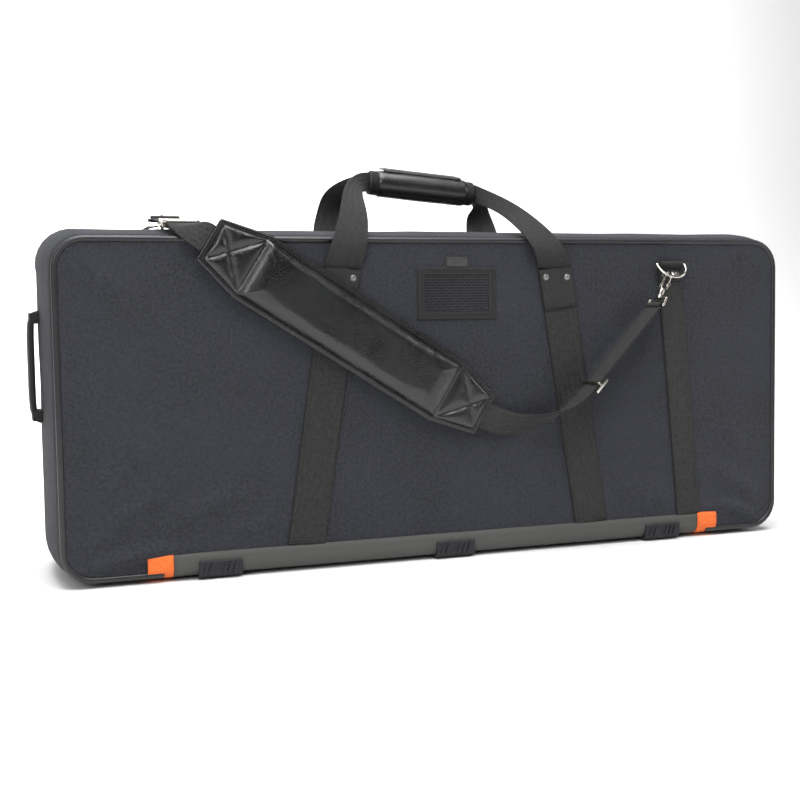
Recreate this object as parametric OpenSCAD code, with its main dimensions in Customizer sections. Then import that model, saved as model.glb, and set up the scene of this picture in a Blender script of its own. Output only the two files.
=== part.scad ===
// Long soft carry case that stands on its lower long edge.
// +X runs along the case, -Y is the face that carries the handle webbing,
// +Z is up, and the origin is on the floor under the middle of the case.

/* [Case] */
// Length of the case along X
case_w = 1030; // [850:5:1300]
// Height of the sewn shell, without the feet
shell_h = 424; // [350:2:520]
// Depth of the case from face to back
case_d = 230; // [190:2:290]
// Corner radius of the face outline
corner_r = 40; // [30:1:55]
// How far the top gusset swells above its seams
crown_top = 14; // [6:1:20]
// How far the end gussets swell past their seams
crown_end = 9; // [4:1:16]
// Thickness of the laminated outer fabric
skin = 1.5; // [1:0.1:2.5]
// Thickness of the foam boards in every wall
foam = 8; // [5:0.5:14]
// Thickness of the lining cloth
lining = 1; // [0.6:0.1:2]
// Radius of the covered piping bead
piping_r = 4; // [2.5:0.5:6]

/* [Back panel opening] */
// Depth of the gusset strip that belongs to the opening back panel
lid_rim = 22; // [16:1:40]
// Gap left for the zip between the body gusset and the back panel rim
zip_gap = 3; // [2.4:0.2:6]
// Radius of the rolled fabric hinge along the lower back edge
hinge_r = 4.5; // [3:0.5:6]
// Height of the zip tape seen edge on
zip_h = 2.5; // [1.6:0.1:4]
// Length of a zip slider
zip_slider_l = 15; // [10:1:22]
// Length of a zip pull
zip_pull_l = 32; // [20:1:50]

/* [Feet and wear panel] */
// Height of the feet under the wear panel
foot_t = 4.5; // [3:0.5:10]
// Width of a foot along X
foot_w = 55; // [35:1:90]
// Distance between neighbouring feet
foot_pitch = 320; // [220:5:400]
// How far a foot curls up the face
foot_curl = 24; // [14:1:36]
// Length of a foot along Y under the case
foot_l = 190; // [120:5:205]
// Half length of the wear panel along X
wear_half = 379; // [300:1:470]
// How far the wear panel reaches up the face
wear_up = 30; // [20:1:50]
// Width of the coloured bands at both ends of the wear panel
band_w = 32; // [20:1:50]

/* [Carry handle] */
// Width of the handle webbing
web_w = 50; // [38:1:60]
// Thickness of one layer of webbing
web_t = 2; // [1.4:0.1:3]
// Distance of the handle webbing from the middle, at its rivets
web_top_x = 152; // [110:1:220]
// Distance from the middle to each rear handle webbing where it leaves the top
rear_web_x = 118; // [100:1:200]
// Distance of the handle webbing from the middle, at the lower edge
web_low_x = 207; // [140:1:300]
// Drop from the top edge to the line where the handle strap leaves the face
strap_down = 40; // [25:1:110]
// Length of the sewn strap end below that line
sewn_l = 56; // [35:1:80]
// Length of the padded grip
grip_l = 140; // [110:1:180]
// Radius of the leather grip wrap
grip_r = 19; // [15:0.5:24]
// Thickness of the leather grip wrap
leather_t = 2; // [1.2:0.1:3]
// Height of the grip middle above the shell's top seam
grip_rise = 76; // [62:1:110]
// Slope of the grip, down towards +X
grip_tilt = 5; // [0:0.5:8]
// Length of the grip flap along the grip
flap_l = 116; // [80:1:150]
// Radius of a rivet head
rivet_r = 3.8; // [2.5:0.1:6]
// Height of a rivet head
rivet_h = 2.2; // [1.4:0.1:3]

/* [Name pocket] */
// Width of the name pocket
pocket_w = 113; // [90:1:140]
// Height of the name pocket
pocket_h = 70; // [55:1:100]
// Middle of the name pocket along X
pocket_x = 8; // [-30:1:30]
// Drop from the top edge to the middle of the name pocket
pocket_down = 74; // [65:1:150]
// Width of the pocket's binding frame
pocket_rim = 11; // [7:1:18]
// Height of the pull tab over the pocket
tab_h = 13; // [8:1:20]

/* [D-rings] */
// Width of the shoulder strap webbing and its anchors
strap_w = 38; // [30:1:50]
// Wire radius of the D-rings
ring_wire = 2; // [1.5:0.1:2.6]
// Depth of a D-ring from its bar to its crest
ring_drop = 24; // [18:1:32]
// How far the front D-ring is held off the face by its hook
front_ring_tilt = 40; // [30:1:50]
// How far the rear D-ring is held off the top by its hook
rear_ring_tilt = 25; // [15:1:40]
// Front D-ring bar, distance from the middle along X
front_ring_x = 333; // [280:1:420]
// Drop from the top edge to the front D-ring's bar
front_ring_down = 36; // [28:1:100]
// Lower end of the front D-ring webbing along X
ring_web_low_x = 365; // [300:1:430]
// Rear D-ring bar, distance from the middle along X
rear_ring_x = -360; // [-430:1:-280]
// Rear D-ring bar, distance from the middle along Y
rear_ring_y = 62; // [40:1:70]

/* [Shoulder strap] */
// Length of the shoulder pad
pad_l = 436; // [340:2:520]
// Width of the shoulder pad
pad_w = 93; // [70:1:120]
// Width of the pad's tapered ends
pad_end_w = 60; // [42:1:80]
// Length of each tapered end
pad_taper = 65; // [40:1:90]
// Height of the pad's cushion over its flange
cushion_h = 15; // [8:1:22]
// Width of the sewn flange beside the cushion
flange_w = 12; // [6:1:20]
// Middle of the pad along X
pad_x = -142; // [-200:1:-100]
// Drop from the top edge to the middle of the pad
pad_down = 121; // [90:1:170]
// Slope of the pad, down towards +X
pad_slope = 32.4; // [25:0.2:40]
// Lower strap slider, distance from the middle along X
low_slider_x = 197; // [150:1:230]
// Drop from the top edge to the lower strap slider
low_slider_down = 200; // [170:1:230]
// Length of a snap hook from its swivel to its crest
hook_l = 40; // [34:1:48]
// Clear width inside a snap hook
hook_gap = 14.5; // [12:0.5:16]
// Thickness of a snap hook across its claw
hook_t = 3.7; // [3.2:0.1:6]

/* [Side handle] */
// Length of the side handle
side_l = 137; // [100:1:180]
// Width of the side handle webbing
side_w = 38; // [28:1:50]
// Drop from the top edge to the middle of the side handle
side_down = 160; // [130:1:250]
// Finger room between the side handle and the end gusset
side_gap = 12; // [8:1:25]

/* [Inside] */
// Distance of each foam cradle from the middle
cradle_x = 260; // [180:5:340]
// Width of a foam cradle along X
cradle_w = 70; // [40:1:110]
// Radius of the saddle that a tube lies in
saddle_r = 82; // [50:1:95]
// Travel of a cradle to either side on its hook-and-loop
cradle_travel = 90; // [20:5:120]

/* [Fit] */
// Clearance between soft pieces that move past each other
soft_gap = 0.3; // [0.2:0.05:0.6]
// Clearance between metal pieces that turn on each other
pin_gap = 0.6; // [0.3:0.05:1]

/* [Hidden] */
$fn = 48;
cord_fn = 32;
eps = 0.01;

// Levels
shell_z0 = foot_t + skin;
shell_z1 = shell_z0 + shell_h;
shell_mid = shell_z0 + shell_h / 2;
strap_z = shell_z1 - strap_down;
pocket_z = shell_z1 - pocket_down;
front_ring_z = shell_z1 - front_ring_down;
pad_z = shell_z1 - pad_down;
low_slider_z = shell_z1 - low_slider_down;
side_z = shell_z1 - side_down;
face_y = -case_d / 2;
back_y = case_d / 2;
corner_x = case_w / 2 - corner_r;

// Gusset band of the body, between the front piping and the zip
band_y0 = face_y + skin + piping_r;
band_y1 = back_y - lid_rim - zip_gap;
band_mid = (band_y0 + band_y1) / 2;
band_half = (band_y1 - band_y0) / 2;
crown_arc_r = (band_half * band_half + crown_top * crown_top) / (2 * crown_top);

// Back panel
lid_y0 = band_y1 + zip_gap;
lid_bead_y = back_y - skin;
hinge_y = back_y - foam / 2 + 1;
hinge_z = shell_z0 + hinge_r + 1;
lid_z0 = hinge_z + hinge_r + soft_gap + 0.5;
lid_h = shell_z1 - lid_z0;
lid_mid = lid_z0 + lid_h / 2;
floor_y1 = hinge_y - hinge_r;

// Surface stack on the face
bead_inset = 2 * piping_r;
board_inset = skin + foam;
foam_inset = max(board_inset, bead_inset + soft_gap);
web_y = face_y - web_t;
double_y = web_y - web_t;
web_low_z = foot_t + wear_up + soft_gap;
wear_y = face_y + skin - piping_r - soft_gap - 0.5;
web_lean = atan((web_low_x - web_top_x) / (strap_z - web_low_z));
ring_lean = atan((ring_web_low_x - front_ring_x) / (front_ring_z - web_low_z));

// Rings
loop_in = ring_wire + pin_gap;
loop_out = loop_in + web_t;
front_ring_y = web_y - loop_out;
ring_half = strap_w / 2 + ring_wire + 1.2;
rear_ring_z = crown_z(rear_ring_y) + web_t + loop_out;

// Grip
grip_z = shell_z1 + grip_rise;
grip_y = -4;
core_r = grip_r - leather_t - soft_gap;
core_l = grip_l + 16;

// Strap plane in front of the rivets
pad_y = double_y - rivet_h - 1.2;
pad_skin = 2.2;
pad_c = cos(pad_slope);
pad_s = sin(pad_slope);
low_end_x = pad_x + pad_c * pad_l / 2;
low_end_z = pad_z - pad_s * pad_l / 2;
top_end_x = pad_x - pad_c * pad_l / 2;
top_end_z = pad_z + pad_s * pad_l / 2;

// Snap hooks
hook_wall = 3;
hook_half = hook_gap / 2 + hook_wall;
swivel_r = 4;
eye_l = 17;
eye_half = strap_w / 2 + 1.5;
front_hook_lean = 29;
front_hook_out = 6;
rear_hook_dip = 6;
hook_slack = 3.5;
claw_side = 12;
claw_drop = ring_drop - ring_half + sqrt(ring_half * ring_half - claw_side * claw_side);
front_claw = [
    front_ring_x - claw_side, front_ring_y - sin(front_ring_tilt) * claw_drop,
    front_ring_z - cos(front_ring_tilt) * claw_drop
];
rear_claw = [
    rear_ring_x, rear_ring_y - cos(rear_ring_tilt) * ring_drop,
    rear_ring_z + sin(rear_ring_tilt) * ring_drop
];
wire_seat = hook_l - hook_wall - ring_wire - hook_slack;
front_hook_dir = [
    sin(front_hook_lean) * cos(front_hook_out), sin(front_hook_out),
    cos(front_hook_lean) * cos(front_hook_out)
];
rear_hook_dir = [0, cos(rear_hook_dip), -sin(rear_hook_dip)];
front_swivel = front_claw - wire_seat * front_hook_dir;
rear_swivel = rear_claw - wire_seat * rear_hook_dir;

// Height of the crowned top gusset at depth y
function crown_z(y) =
    shell_z1 + crown_top - crown_arc_r + sqrt(crown_arc_r * crown_arc_r - pow(y - band_mid, 2));

// Shared maths
function unit(v) = v / norm(v);
function mix(a, b, t) = a + (b - a) * t;
function curve(a, b, c, d, t) =
    pow(1 - t, 3) * a + 3 * t * pow(1 - t, 2) * b + 3 * t * t * (1 - t) * c + pow(t, 3) * d;
function lean_x(z, side) = side * (web_top_x + (strap_z - z) * tan(web_lean));

// Turns a flat outline drawn in X and Y so that it stands in X and Z, from y0 to y1
module slab(y0, y1) {
    translate([0, y1, 0])
        rotate([90, 0, 0])
            linear_extrude(y1 - y0)
                children();
}

module round_rect(w, h, r) {
    square([w - 2 * r, h], center = true);
    square([w, h - 2 * r], center = true);
    for (sx = [-1, 1])
        for (sy = [-1, 1])
            translate([sx * (w / 2 - r), sy * (h / 2 - r)])
                circle(r = r);
}

// Outline of the case at a distance inside its sewn edge
module outline(inset) {
    translate([0, shell_mid])
        round_rect(case_w - 2 * inset, shell_h - 2 * inset, corner_r - inset);
}

module lid_outline(inset) {
    translate([0, lid_mid])
        round_rect(case_w - 2 * inset, lid_h - 2 * inset, corner_r - inset);
}

// A round bead that follows a rounded rectangle standing in X and Z
module bead_loop(w, h, r, bead) {
    for (sx = [-1, 1])
        translate([sx * w / 2, 0, 0])
            cylinder(r = bead, h = h - 2 * r, center = true);
    for (sz = [-1, 1])
        translate([0, 0, sz * h / 2])
            rotate([0, 90, 0])
                cylinder(r = bead, h = w - 2 * r, center = true);
    for (quarter = [0:3])
        translate([
            (quarter == 0 || quarter == 3 ? 1 : -1) * (w / 2 - r), 0,
            (quarter < 2 ? 1 : -1) * (h / 2 - r)
        ])
            rotate([90, 0, 0])
                rotate([0, 0, quarter * 90])
                    rotate_extrude(angle = 90)
                        translate([r, 0])
                            circle(r = bead, $fn = cord_fn);
}

// A flat band of cloth: stations hold a middle point and half of the band's width as a vector
module ribbon(stations, t) {
    n = len(stations);
    points = [
        for (i = [0:n - 1])
            let (
                p = stations[i][0],
                w = stations[i][1],
                along = stations[min(i + 1, n - 1)][0] - stations[max(i - 1, 0)][0],
                up = unit(cross(along, w)) * t / 2
            )
            each [p - w - up, p + w - up, p + w + up, p - w + up]
    ];
    sides = [
        for (i = [0:n - 2])
            for (k = [0:3])
                let (a = 4 * i + k, b = 4 * i + (k + 1) % 4)
                each [[a, b + 4, b], [a, a + 4, b + 4]]
    ];
    last = 4 * (n - 1);
    ends = [[0, 1, 2], [0, 2, 3], [last, last + 2, last + 1], [last, last + 3, last + 2]];
    polyhedron(points, concat(sides, ends), convexity = 6);
}

// ---- Fixed shell ----

module front_panel() {
    color([0.2, 0.2, 0.23])
        slab(face_y, face_y + skin)
            outline(bead_inset);
}

module front_foam() {
    color([0.5, 0.5, 0.5])
        slab(face_y + skin, face_y + board_inset)
            outline(foam_inset);
}

module body_lining() {
    color([0.35, 0.35, 0.38])
        difference() {
            slab(face_y + board_inset, band_y1)
                outline(board_inset);
            slab(face_y + board_inset + lining, band_y1 + 1)
                outline(board_inset + lining);
        }
}

gusset_steps = 8;
corner_steps = 8;
inner_r = (corner_r - skin) / cos(45 / corner_steps);

function swell(a) =
    a <= 90 ? mix(crown_end, crown_top, a / 90)
    : a <= 180 ? mix(crown_top, crown_end, (a - 90) / 90)
    : a <= 270 ? mix(crown_end, 0, (a - 180) / 90)
    : mix(0, crown_end, (a - 270) / 90);
function band_y(j) = mix(band_y0, band_y1, j / gusset_steps);
function gusset_ring(cx, cz, a) =
    let (u = [cos(a), 0, sin(a)], c = [cx, 0, cz])
    [
        for (j = [0:gusset_steps])
            let (bulge = swell(a) * (crown_z(band_y(j)) - shell_z1) / crown_top)
            c + u * (corner_r + bulge) + [0, band_y(j), 0],
        c + u * inner_r + [0, band_y1, 0],
        c + u * inner_r + [0, band_y0, 0]
    ];

module main_gusset() {
    rings = [
        for (q = [0:3])
            for (k = [0:corner_steps])
                let (
                    a = 90 * q + 90 * k / corner_steps,
                    sx = q == 0 || q == 3 ? 1 : -1,
                    sz = q < 2 ? 1 : -1
                )
                gusset_ring(sx * corner_x, shell_mid + sz * (shell_h / 2 - corner_r), a)
    ];
    n = len(rings);
    m = gusset_steps + 3;
    faces = [
        for (i = [0:n - 1])
            for (j = [0:m - 1])
                let (
                    a = i * m + j,
                    b = i * m + (j + 1) % m,
                    c = (i + 1) % n * m + (j + 1) % m,
                    d = (i + 1) % n * m + j
                )
                each [[a, c, b], [a, d, c]]
    ];
    color([0.22, 0.22, 0.25])
        polyhedron([for (r = rings) each r], faces, convexity = 8);
}

module top_foam() {
    color([0.55, 0.55, 0.55])
        translate([-corner_x, band_y0, shell_z1 - board_inset])
            cube([2 * corner_x, band_y1 - band_y0, foam]);
}

module bottom_foam() {
    color([0.55, 0.55, 0.55]) {
        translate([-corner_x, band_y0, shell_z0 + skin])
            cube([2 * corner_x, band_y1 - band_y0, foam]);
        translate([-corner_x, band_y1, shell_z0])
            cube([2 * corner_x, floor_y1 - band_y1, board_inset]);
    }
}

module end_foams() {
    color([0.55, 0.55, 0.55])
        for (sx = [-1, 1])
            translate([sx * (case_w / 2 - skin - foam / 2), (band_y0 + band_y1) / 2, shell_mid])
                cube([foam, band_y1 - band_y0, shell_h - 2 * corner_r], center = true);
}

module corner_foams() {
    color([0.55, 0.55, 0.55])
        for (q = [0:3])
            translate([
                (q == 0 || q == 3 ? 1 : -1) * corner_x, band_y1,
                shell_mid + (q < 2 ? 1 : -1) * (shell_h / 2 - corner_r)
            ])
                rotate([90, 0, 0])
                    rotate([0, 0, 90 * q])
                        rotate_extrude(angle = 90)
                            translate([corner_r - board_inset, 0])
                                square([foam, band_y1 - band_y0]);
}

module front_piping() {
    color([0.3, 0.31, 0.32])
        translate([0, face_y + skin, shell_mid])
            bead_loop(case_w - bead_inset, shell_h - bead_inset, corner_r - piping_r, piping_r);
}

// Cloth that wraps from under the case up its face, grown outwards by extra
module wrap_under(x0, x1, extra) {
    t = skin + extra;
    r_in = piping_r + 0.3;
    r_out = r_in + t;
    y_out = wear_y - t;
    z_out = shell_z0 - t;
    translate([x0, 0, 0])
        rotate([90, 0, 90])
            linear_extrude(x1 - x0) {
                translate([wear_y + r_in, shell_z0 + r_in])
                    intersection() {
                        difference() {
                            circle(r = r_out);
                            circle(r = r_in);
                        }
                        translate([-r_out, -r_out])
                            square(r_out);
                    }
                translate([y_out, shell_z0 + r_in])
                    square([t, foot_t + wear_up - shell_z0 - r_in]);
                translate([wear_y, foot_t + wear_up - 4])
                    square([face_y - wear_y, 4]);
                translate([wear_y + r_in, z_out])
                    square([floor_y1 - wear_y - r_in, t]);
            }
}

module wear_panel() {
    color([0.29, 0.29, 0.28])
        wrap_under(-wear_half, wear_half, 0);
}

module orange_bands() {
    color([0.95, 0.43, 0.16]) {
        wrap_under(-wear_half - band_w, -wear_half, 0.4);
        wrap_under(wear_half, wear_half + band_w, 0.4);
    }
}

screw_r = 4.5;
shank_r = 1.6;
screw_head = 1.5;
rib_n = 5;
foot_lip = 3;

module runner_feet() {
    front = wear_y - skin;
    rib = foot_w / (2 * rib_n - 1);
    color([0.1, 0.1, 0.11])
        for (k = [-1:1])
            translate([k * foot_pitch, 0, 0])
                difference() {
                    union() {
                        translate([-foot_w / 2, front, 0])
                            cube([foot_w, foot_l, foot_t]);
                        translate([-foot_w / 2, front - foot_lip, 2])
                            cube([foot_w, foot_lip, foot_curl - 2]);
                        translate([-foot_w / 2, front, 2])
                            rotate([0, 90, 0])
                                cylinder(r = 2, h = foot_w);
                        for (i = [0:rib_n - 1])
                            translate([-foot_w / 2 + 2 * i * rib, front - foot_lip - 2, 6])
                                cube([rib, 2.5, foot_curl - 9]);
                    }
                    for (y = [0.22, 0.78])
                        translate([0, front + y * foot_l, 0]) {
                            translate([0, 0, -1])
                                cylinder(r = shank_r + 0.2, h = foot_t + 2);
                            translate([0, 0, -1])
                                cylinder(r = screw_r + 0.3, h = 1 + foot_t - 2);
                        }
                }
}

module foot_screws() {
    front = wear_y - skin;
    color([0.6, 0.6, 0.62])
        for (k = [-1:1])
            for (y = [0.22, 0.78])
                translate([k * foot_pitch, front + y * foot_l, foot_t - 2]) {
                    translate([0, 0, -screw_head])
                        cylinder(r = screw_r, h = screw_head);
                    cylinder(r = shank_r, h = 2);
                }
}

module hinge_roll() {
    color([0.2, 0.2, 0.23])
        translate([-corner_x, hinge_y, hinge_z])
            rotate([0, 90, 0])
                cylinder(r = hinge_r, h = 2 * corner_x);
    color([0.2, 0.2, 0.23])
        translate([-corner_x, floor_y1, shell_z0])
            difference() {
                cube([2 * corner_x, hinge_r, hinge_z - shell_z0]);
                translate([-1, hinge_r, hinge_z - shell_z0])
                    rotate([0, 90, 0])
                        cylinder(r = hinge_r, h = 2 * corner_x + 2);
            }
}

// The part of an outline ring that follows the zip: both ends and the top
module zip_path() {
    intersection() {
        difference() {
            outline(0);
            outline(zip_h);
        }
        translate([-case_w, lid_z0 + corner_r])
            square([2 * case_w, shell_h]);
    }
}

module zip_chain_body() {
    color([0.13, 0.13, 0.14])
        slab(band_y1, band_y1 + (zip_gap - soft_gap) / 2)
            zip_path();
}

// ---- Back panel, which opens on the rolled hinge ----

module lid_panel() {
    color([0.2, 0.2, 0.23])
        slab(back_y - skin, back_y)
            lid_outline(bead_inset);
}

module lid_foam() {
    color([0.5, 0.5, 0.5])
        slab(back_y - board_inset, back_y - skin)
            lid_outline(foam_inset);
}

module lid_lining() {
    color([0.35, 0.35, 0.38])
        slab(back_y - board_inset - lining, back_y - board_inset)
            lid_outline(board_inset);
}

module lid_gusset() {
    color([0.22, 0.22, 0.25])
        slab(lid_y0, lid_bead_y - piping_r)
            difference() {
                lid_outline(0);
                lid_outline(skin);
                translate([-corner_x, 0])
                    square([2 * corner_x, lid_z0 + corner_r]);
            }
}

module lid_piping() {
    color([0.3, 0.31, 0.32])
        translate([0, lid_bead_y, lid_mid])
            bead_loop(case_w - bead_inset, lid_h - bead_inset, corner_r - piping_r, piping_r);
}

module zip_chain_lid() {
    color([0.13, 0.13, 0.14])
        slab(lid_y0 - (zip_gap - soft_gap) / 2, lid_y0)
            zip_path();
}

// ---- Zip sliders ----

slider_t = 2;
slider_lift = 0.6;
lug_l = 5;
lug_w = 4;
pull_w = 8;
pull_t = 1.6;
pull_pin_r = 0.8;
lug_z = shell_z1 + slider_lift + slider_t;
pull_pin_z = lug_z + 2.4;
slider_x = zip_slider_l / 2 + 0.5;
slider_mid_y = band_y1 + zip_gap / 2;

module zip_slider(side) {
    color([0.55, 0.55, 0.57])
        translate([side * slider_x, slider_mid_y, 0])
            difference() {
                union() {
                    translate([-zip_slider_l / 2, -zip_gap / 2 - 0.8, shell_z1 + slider_lift])
                        cube([zip_slider_l, zip_gap + 5, slider_t]);
                    translate([-lug_l / 2, -lug_w / 2, lug_z - eps])
                        cube([lug_l, lug_w, 4.4 + eps]);
                }
                translate([0, 0, pull_pin_z])
                    rotate([90, 0, 0])
                        cylinder(r = pull_pin_r + 0.3, h = lug_w + 2, center = true);
            }
}

module zip_pull(side) {
    prong_y = lug_w / 2 + 0.4;
    color([0.55, 0.55, 0.57])
        translate([side * slider_x, slider_mid_y, pull_pin_z]) {
            rotate([90, 0, 0])
                cylinder(r = pull_pin_r, h = 2 * prong_y + 2, center = true);
            for (sy = [-1, 1])
                translate([side * 4 - 5, sy * (prong_y + 0.8) - 0.8, -pull_t / 2])
                    cube([10, 1.6, pull_t]);
            translate([side * (zip_pull_l + lug_l + 2) / 2, 0, 0])
                cube([zip_pull_l - lug_l, pull_w, pull_t], center = true);
        }
}

module zip_slider_left() {
    zip_slider(-1);
}

module zip_slider_right() {
    zip_slider(1);
}

module zip_pull_left() {
    zip_pull(-1);
}

module zip_pull_right() {
    zip_pull(1);
}

// ---- Handle webbing on the face and on the top ----

// A flat band that leans across the face between two heights
module face_band(x_top, z_top, x_low, z_low, w, y0, t) {
    lean = atan((x_low - x_top) / (z_top - z_low));
    intersection() {
        translate([x_top, y0 + t / 2, z_top])
            rotate([0, -lean, 0])
                translate([0, 0, -(z_top - z_low) * 0.6])
                    cube([w, t, (z_top - z_low) * 1.6], center = true);
        translate([-case_w, y0 - 1, z_low])
            cube([2 * case_w, t + 2, z_top - z_low]);
    }
}

module handle_webbing(side) {
    color([0.22, 0.22, 0.21]) {
        face_band(lean_x(strap_z, side), strap_z, lean_x(web_low_z, side), web_low_z, web_w, web_y, web_t);
        face_band(lean_x(strap_z, side), strap_z, lean_x(strap_z - sewn_l, side), strap_z - sewn_l,
            web_w, double_y, web_t);
    }
}

module handle_webbing_left() {
    handle_webbing(-1);
}

module handle_webbing_right() {
    handle_webbing(1);
}

// A patch of webbing that lies on the crowned top between two depths
module crown_patch(x, w, y0, y1, t) {
    translate([x - w / 2, 0, 0])
        rotate([90, 0, 90])
            linear_extrude(w)
                intersection() {
                    translate([band_mid, shell_z1 + crown_top - crown_arc_r])
                        difference() {
                            circle(r = crown_arc_r + t, $fn = 360);
                            circle(r = crown_arc_r, $fn = 360);
                        }
                    translate([y0, shell_z1])
                        square([y1 - y0, crown_top + 3 * t]);
                }
}

rear_patch_y0 = 34;
rear_patch_y1 = 80;

module rear_handle_webbings() {
    color([0.22, 0.22, 0.21])
        for (side = [-1, 1])
            crown_patch(side * rear_web_x, web_w, rear_patch_y0, rear_patch_y1, web_t);
}

module rivet_head() {
    ball = (rivet_r * rivet_r + rivet_h * rivet_h) / (2 * rivet_h);
    intersection() {
        translate([0, 0, rivet_h - ball])
            sphere(r = ball);
        translate([0, 0, 50])
            cube(100, center = true);
    }
}

ring_tail = 24;
rivet_drop = 13;
ring_rivet_drop = 14;

module rivets() {
    color([0.75, 0.75, 0.77]) {
        for (side = [-1, 1])
            for (k = [-1, 1])
                translate([
                    lean_x(strap_z - rivet_drop, side) + k * (web_w / 2 - 9), double_y, strap_z - rivet_drop
                ])
                    rotate([90, 0, 0])
                        rivet_head();
        for (k = [-1, 1])
            translate([
                front_ring_x + k * 10 + ring_rivet_drop * tan(ring_lean), double_y,
                front_ring_z - ring_rivet_drop
            ])
                rotate([90, 0, 0])
                    rivet_head();
    }
}

// ---- Carry handle ----

strap_steps = 14;
top_bend = 88;

// The free handle strap from its anchor to the end of the grip
module free_strap(side, front) {
    anchor = front > 0
        ? [lean_x(strap_z, side), double_y + web_t / 2, strap_z + 0.35]
        : [side * rear_web_x, rear_patch_y0 + 14, crown_z(rear_patch_y0 + 14) + web_t * 1.5 + 0.4];
    rise = front > 0 ? [-side * top_bend * tan(web_lean), -22, top_bend] : [-side * 2, 22, 34];
    across = [web_w / 2 / (front > 0 ? cos(web_lean) : 1), 0, 0];
    reach = core_l / 2 + 0.8;
    grip_end = [
        side * reach * cos(grip_tilt), grip_y - front * core_r / 2, grip_z - side * reach * sin(grip_tilt)
    ];
    ribbon([
        for (i = [0:strap_steps])
            let (t = i / strap_steps)
            [
                curve(anchor, anchor + rise, grip_end + [side * 42, -front * 56, -3], grip_end, t),
                mix(across, side * -[0, front * 2, -core_r * 0.75], pow(t, 1.4))
            ]
    ], web_t);
}

module front_strap_left() {
    color([0.22, 0.22, 0.21])
        free_strap(-1, 1);
}

module front_strap_right() {
    color([0.22, 0.22, 0.21])
        free_strap(1, 1);
}

module rear_strap_left() {
    color([0.22, 0.22, 0.21])
        free_strap(-1, -1);
}

module rear_strap_right() {
    color([0.22, 0.22, 0.21])
        free_strap(1, -1);
}

module at_grip() {
    translate([0, grip_y, grip_z])
        rotate([0, grip_tilt, 0])
            children();
}

module grip_core() {
    color([0.22, 0.22, 0.21])
        at_grip()
            rotate([0, 90, 0])
                cylinder(r = core_r, h = core_l - 2, center = true);
}

module grip_wrap() {
    color([0.1, 0.11, 0.12])
        at_grip()
            rotate([0, 90, 0])
                difference() {
                    cylinder(r = grip_r, h = grip_l, center = true);
                    cylinder(r = grip_r - leather_t, h = grip_l + 2, center = true);
                }
}

flap_tilt = 10;
flap_front = 8;
flap_back = 24;

module grip_flap() {
    color([0.2, 0.2, 0.2])
        at_grip()
            rotate([flap_tilt, 0, 0])
                translate([-flap_l / 2, -flap_front, grip_r + soft_gap])
                    cube([flap_l, flap_front + flap_back, leather_t + 0.6]);
}

// ---- D-rings and their anchors ----

module ring_webbing() {
    color([0.22, 0.22, 0.21])
        face_band(front_ring_x, front_ring_z, ring_web_low_x, web_low_z, strap_w, web_y, web_t);
}

// Webbing rolled round a D-ring bar, with its tail lying in the direction of -Z
module ring_loop(tail) {
    difference() {
        union() {
            rotate([0, 90, 0])
                cylinder(r = loop_out, h = strap_w - 2, center = true);
            translate([-strap_w / 2 + 1, loop_out - web_t, -tail])
                cube([strap_w - 2, web_t, tail]);
        }
        rotate([0, 90, 0])
            cylinder(r = loop_in, h = strap_w + 2, center = true);
    }
}

module front_ring_loop() {
    color([0.22, 0.22, 0.21])
        translate([front_ring_x, front_ring_y, front_ring_z])
            ring_loop(ring_tail);
}

module rear_ring_loop() {
    color([0.22, 0.22, 0.21]) {
        translate([rear_ring_x, rear_ring_y, rear_ring_z])
            difference() {
                rotate([0, 90, 0])
                    cylinder(r = loop_out, h = strap_w - 2, center = true);
                rotate([0, 90, 0])
                    cylinder(r = loop_in, h = strap_w, center = true);
            }
        difference() {
            crown_patch(rear_ring_x, strap_w - 2, rear_ring_y - 16, band_y1 - 4, web_t);
            translate([rear_ring_x, rear_ring_y, rear_ring_z])
                rotate([0, 90, 0])
                    cylinder(r = loop_out - 0.2, h = strap_w, center = true);
        }
    }
}

module d_ring() {
    leg = ring_drop - ring_half;
    rotate([0, 90, 0])
        cylinder(r = ring_wire, h = 2 * ring_half, center = true);
    for (sx = [-1, 1]) {
        translate([sx * ring_half, 0, 0])
            sphere(r = ring_wire);
        translate([sx * ring_half, 0, -leg])
            cylinder(r = ring_wire, h = leg);
    }
    translate([0, 0, -leg])
        rotate([90, 0, 0])
            rotate([0, 0, 180])
                rotate_extrude(angle = 180)
                    translate([ring_half, 0])
                        circle(r = ring_wire, $fn = cord_fn);
}

module front_d_ring() {
    color([0.78, 0.76, 0.72])
        translate([front_ring_x, front_ring_y, front_ring_z])
            rotate([-front_ring_tilt, 0, 0])
                d_ring();
}

module rear_d_ring() {
    color([0.78, 0.76, 0.72])
        translate([rear_ring_x, rear_ring_y, rear_ring_z])
            rotate([-90 - rear_ring_tilt, 0, 0])
                d_ring();
}

// ---- Name pocket ----

module pocket_frame() {
    color([0.16, 0.16, 0.17])
        slab(web_y, face_y)
            translate([pocket_x, pocket_z])
                difference() {
                    square([pocket_w, pocket_h], center = true);
                    square([pocket_w - 2 * pocket_rim, pocket_h - 2 * pocket_rim], center = true);
                }
}

module pocket_mesh() {
    color([0.14, 0.14, 0.16])
        slab(face_y - 1.1, face_y - 0.3)
            translate([pocket_x, pocket_z])
                square([pocket_w - 2 * pocket_rim, pocket_h - 2 * pocket_rim], center = true);
}

module pocket_tab() {
    color([0.33, 0.33, 0.32])
        translate([pocket_x - 15, face_y - soft_gap - web_t, pocket_z + pocket_h / 2 + soft_gap])
            cube([30, web_t, tab_h]);
}

// ---- Side handle on the left end ----

side_x = -case_w / 2 - crown_end - side_gap;
side_end_l = 14;

module side_handle_strap() {
    color([0.12, 0.12, 0.13])
        translate([side_x - 3, band_mid - side_w / 2, side_z - side_l / 2])
            cube([3, side_w, side_l]);
}

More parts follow.
